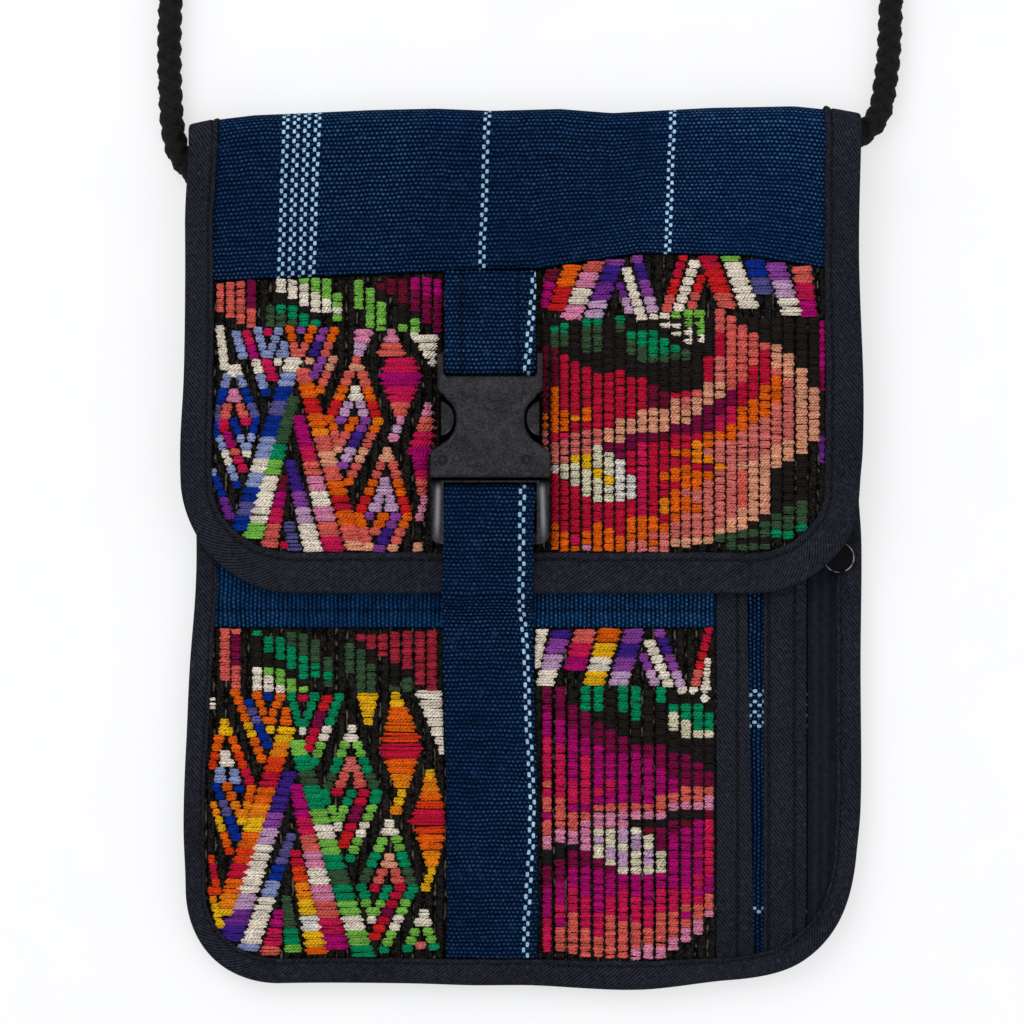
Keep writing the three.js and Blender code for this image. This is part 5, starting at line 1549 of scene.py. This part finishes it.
class BAG_OT_stage(bpy.types.Operator):
    """Adds the surface that the bag lies on, the soft light and the camera straight above."""

    bl_idname = "bag.stage"
    bl_label = "Stage"

    def execute(self, context):
        choice = context.scene.bag_stage
        half, low = 2.5, -0.0003
        mesh = bpy.data.meshes.new("floor")
        mesh.from_pydata([(-half, -half, low), (half, -half, low), (half, half, low), (-half, half, low)], [],
                         [(0, 1, 2, 3)])
        paper = Finish("pale_paper", 0.9, 0.1)
        paper.shader.inputs["Emission Color"].default_value = (1, 1, 1, 1)
        paper.shader.inputs["Emission Strength"].default_value = choice.glow
        paper.finish(paper.noise(60, 3).tint((168, 169, 171), (172, 172, 173)))
        mesh.materials.append(paper.material)
        floor = bpy.data.objects.new("floor", mesh)
        context.scene.collection.objects.link(floor)
        context.scene.view_settings.view_transform = "Standard"
        lamps = (("key", (-0.6, 0.7, 1.0), 1.0, 1.0), ("side", (0.8, -0.3, 0.8), 1.2, 0.4))
        for name, place, size, share in lamps:
            light = bpy.data.lights.new(name, "AREA")
            light.energy = choice.key * share
            light.size = size
            lamp = bpy.data.objects.new(name, light)
            lamp.location = place
            tilt = math.atan2(math.hypot(place[0], place[1]), place[2])
            lamp.rotation_euler = (tilt, 0, math.atan2(-place[1], -place[0]) - math.pi / 2)
            context.scene.collection.objects.link(lamp)
        world = bpy.data.worlds.new("studio")
        world.use_nodes = True
        world.node_tree.nodes["Background"].inputs["Color"].default_value = (0.97, 0.98, 1.0, 1)
        world.node_tree.nodes["Background"].inputs["Strength"].default_value = choice.fill
        context.scene.world = world
        lens = bpy.data.cameras.new("camera")
        lens.lens = 250
        lens.sensor_width = 36
        camera = bpy.data.objects.new("camera", lens)
        camera.location = (-0.00265, 0.00954, choice.height)
        context.scene.collection.objects.link(camera)
        context.scene.camera = camera
        return {"FINISHED"}


class BAG_OT_cord(bpy.types.Operator):
    """Lays the braided neck cord."""

    bl_idname = "bag.cord"
    bl_label = "Neck cord"

    def execute(self, context):
        solid, centre, length = braided_cord()
        piece = make_object("braided_neck_cord", solid, braid("black_braid"), "black_cord", ["neck_cord"])
        tuple(centre[0] * MM)
        round(length * MM, 3)
        [tuple(point) for point in centre * MM]
        return {"FINISHED"}


class BAG_OT_cloth(bpy.types.Operator):
    """Makes the indigo back and flap, the pouch's front and the pocket's hem."""

    bl_idname = "bag.cloth"
    bl_label = "Indigo cloth"

    def execute(self, context):
        striped = indigo("indigo_striped", -62.4, (-9.2, 39.9))
        back = make_object("back_and_flap_cloth", back_and_flap(), striped, "indigo_cloth", ["back_and_flap"])
        front = make_object("front_cloth", pouch_sheet(FRONT, CLOTH, MOUTH, step=2.8, turned=True),
                            indigo("indigo_turned", 37.9, (95.6,)), "indigo_cloth", ["front_panel"])
        hem = pouch_sheet(POCKET, HEM_CLOTH, HEM_LINES[1], right=POCKET_RIGHT, bottom=HEM_LINES[0], step=0.75,
                          crown=0.3, turned=True, level_seams=(HEM_SEAM,))
        paler = indigo("indigo_hem", rib_tone=(14, 58, 106))
        band = make_object("pocket_hem_cloth", hem, paler, "indigo_cloth", ["pocket_hem"])
        return {"FINISHED"}


class BAG_OT_brocade(bpy.types.Operator):
    """Makes the flap's and the pocket's brocade: a black ground and floats of dyed yarn."""

    bl_idname = "bag.brocade"
    bl_label = "Brocade"

    def execute(self, context):
        seed = context.scene.bag_thread.seed
        yarn = brocade_thread("dyed_yarn")
        ground = brocade_ground("brocade_ground", 2.9)
        charts = {
            "flap": (flap_top, flap_room, (FLAP_LEFT_RUNS, FLAP_LEFT_COLUMNS, None),
                     (FLAP_RIGHT_RUNS, FLAP_RIGHT_COLUMNS, 318)),
            "pocket": (pocket_top, pocket_room, (POCKET_LEFT_RUNS, POCKET_LEFT_COLUMNS, None),
                       (POCKET_RIGHT_RUNS, POCKET_RIGHT_COLUMNS, 690)),
        }
        floats = {}
        for place, (surface, room, *sides) in charts.items():
            for side, (runs, columns, top) in zip(("left", "right"), sides):
                seed += 1
                chart = np.concatenate([chart_runs(runs), chart_columns(columns, top)])
                solid = thread_floats(chart, surface, room, seed)
                piece = make_object(f"{place}_brocade_{side}", solid, yarn, "brocade")
                floats.setdefault(place, []).append(piece)
        flap = make_object("flap_ground", flap_panel(), ground, "brocade", ["flap_panel"])
        sheet = pouch_sheet(POCKET, CLOTH, HEM_LINES[0] - GAP, right=POCKET_RIGHT, step=1.9)
        pocket = make_object("pocket_ground", sheet, ground, "brocade", ["front_pocket"])
        return {"FINISHED"}


class BAG_OT_tapes(bpy.types.Operator):
    """Makes the bindings, the pocket's side tape and the tapes beside the zip."""

    bl_idname = "bag.tapes"
    bl_label = "Tapes"

    def execute(self, context):
        step = context.scene.bag_thread.stitch / MM
        cloth = twill("black_twill_weave")
        thread = stitch_thread("black_thread", (26, 26, 31))
        solid, line = pouch_binding()
        edge = make_object("pouch_binding_tape", solid, cloth, "black_twill", ["pouch_binding"])
        sewn = make_object("pouch_binding_stitches", stitched(line, step), thread, "black_twill")
        solid, line = flap_binding()
        edge = make_object("flap_binding_tape", solid, cloth, "black_twill", ["flap_binding"])
        sewn = make_object("flap_binding_stitches", stitched(line, step), thread, "black_twill")
        thick = CLOTH + 0.1
        strips = (("pocket_tape", "pocket_side_tape", POCKET_TAPE, POCKET_TAPE_SEAMS, HEM_LINES[1], None,
                   10.0, 2.2),
                  ("zip_band_tape", "zip_band", ZIP_BAND, ZIP_BAND_SEAMS, ZIP_TOP, -113.0, 11.4, 0.0))
        for name, node, sides, seams, top, bottom, cut, lean in strips:
            solid = pouch_sheet(POCKET, thick, top, *sides, bottom=bottom, step=1.5, crown=0.25, seams=seams,
                                lean=lean)
            piece = make_object(name, solid, cloth, "black_twill", [node])
            y = np.linspace(-104, top - 2, 160)
            lines = [np.stack([x + seam_waver(y), y, layer_height(POCKET, x, y) + thick - 0.24], -1)
                     for x in seams]
            stitches = joined([stitched(line, step) for line in lines])
            sewn = make_object(f"{name}_stitches", stitches, thread, "black_twill")
        solid = pouch_sheet(POCKET, 0.7, ZIP_TOP, ZIP_TAPE_LEFT, bottom=-106.5, step=1.4, crown=0.2)
        weave = plain_tape("black_tape_weave")
        piece = make_object("zip_tape_weave", solid, weave, "black_tape", ["zip_tape"])
        return {"FINISHED"}


class BAG_OT_straps(bpy.types.Operator):
    """Makes the two straps of folded cloth and their stitching."""

    bl_idname = "bag.straps"
    bl_label = "Straps"

    def execute(self, context):
        step = context.scene.bag_thread.stitch / MM
        thread = stitch_thread("blue_thread", (9, 18, 40))
        for name, line, pair, length in (("upper_strap", upper_strap_line(), 9.3, 0.058),
                                         ("lower_strap", lower_strap_line(), 8.9, 0.147)):
            solid, path, normal = strap(line, 41)
            cloth = indigo(f"indigo_{name}", None, (pair,), 2.95, rib_tone=(8, 33, 72))
            piece = make_object(f"{name}_cloth", solid, cloth, "indigo_cloth", [name])
            top = path + normal * (STRAP / 2 - 0.22)
            seams = [np.concatenate([strap_middle(top[:, :1]) + x, top], 1) for x in STRAP_SEAMS]
            stitches = joined([stitched(seam, step, radius=0.2) for seam in seams])
            sewn = make_object(f"{name}_stitches", stitches, thread, "indigo_cloth")
        return {"FINISHED"}


class BAG_OT_hardware(bpy.types.Operator):
    """Moulds the buckle's socket, and rounds and finishes its prong and the zip's pull."""

    bl_idname = "bag.hardware"
    bl_label = "Buckle and pull"

    def execute(self, context):
        grained = plastic("grained_plastic", False)
        make_object("moulded_socket", buckle_socket(), grained, "black_plastic", ["buckle_socket"])
        for name, material, width in (("buckle_prong", plastic("prong_plastic", True), 0.0009),
                                      ("zip_pull", glossy("gloss_black"), 0.0002)):
            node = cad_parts[name]
            node.data.materials.clear()
            node.data.materials.append(material)
            node.modifiers.new("corners", "WELD").merge_threshold = 0.00001
            rounding = node.modifiers.new("rounding", "BEVEL")
            rounding.width = width
            rounding.segments = 3
            rounding.limit_method = "ANGLE"
            rounding.angle_limit = math.radians(35)
            rounding.harden_normals = True
        return {"FINISHED"}


class BAG_PT_panel(bpy.types.Panel):
    """Settings and steps of the bag."""

    bl_idname = "BAG_PT_panel"
    bl_label = "Document bag"
    bl_space_type = "VIEW_3D"
    bl_region_type = "UI"
    bl_category = "Bag"

    def draw(self, context):
        for group in (context.scene.bag_thread, context.scene.bag_stage):
            for name in group.__annotations__:
                self.layout.prop(group, name)
        for step in STEPS:
            self.layout.operator(step.bl_idname)


STEPS = (BAG_OT_stage, BAG_OT_cord, BAG_OT_cloth, BAG_OT_brocade, BAG_OT_tapes, BAG_OT_straps,
         BAG_OT_hardware)
CLASSES = (BagThread, BagStage, *STEPS, BAG_PT_panel)


def register():
    for item in CLASSES:
        bpy.utils.register_class(item)
    bpy.types.Scene.bag_thread = bpy.props.PointerProperty(type=BagThread)
    bpy.types.Scene.bag_stage = bpy.props.PointerProperty(type=BagStage)


def unregister():
    del bpy.types.Scene.bag_stage
    del bpy.types.Scene.bag_thread
    for item in reversed(CLASSES):
        bpy.utils.unregister_class(item)


def main():
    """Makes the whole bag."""
    register()
    bpy.ops.bag.stage()
    bpy.ops.bag.cord()
    bpy.ops.bag.cloth()
    bpy.ops.bag.brocade()
    bpy.ops.bag.tapes()
    bpy.ops.bag.straps()
    bpy.ops.bag.hardware()


if __name__ == "__main__":
    main()
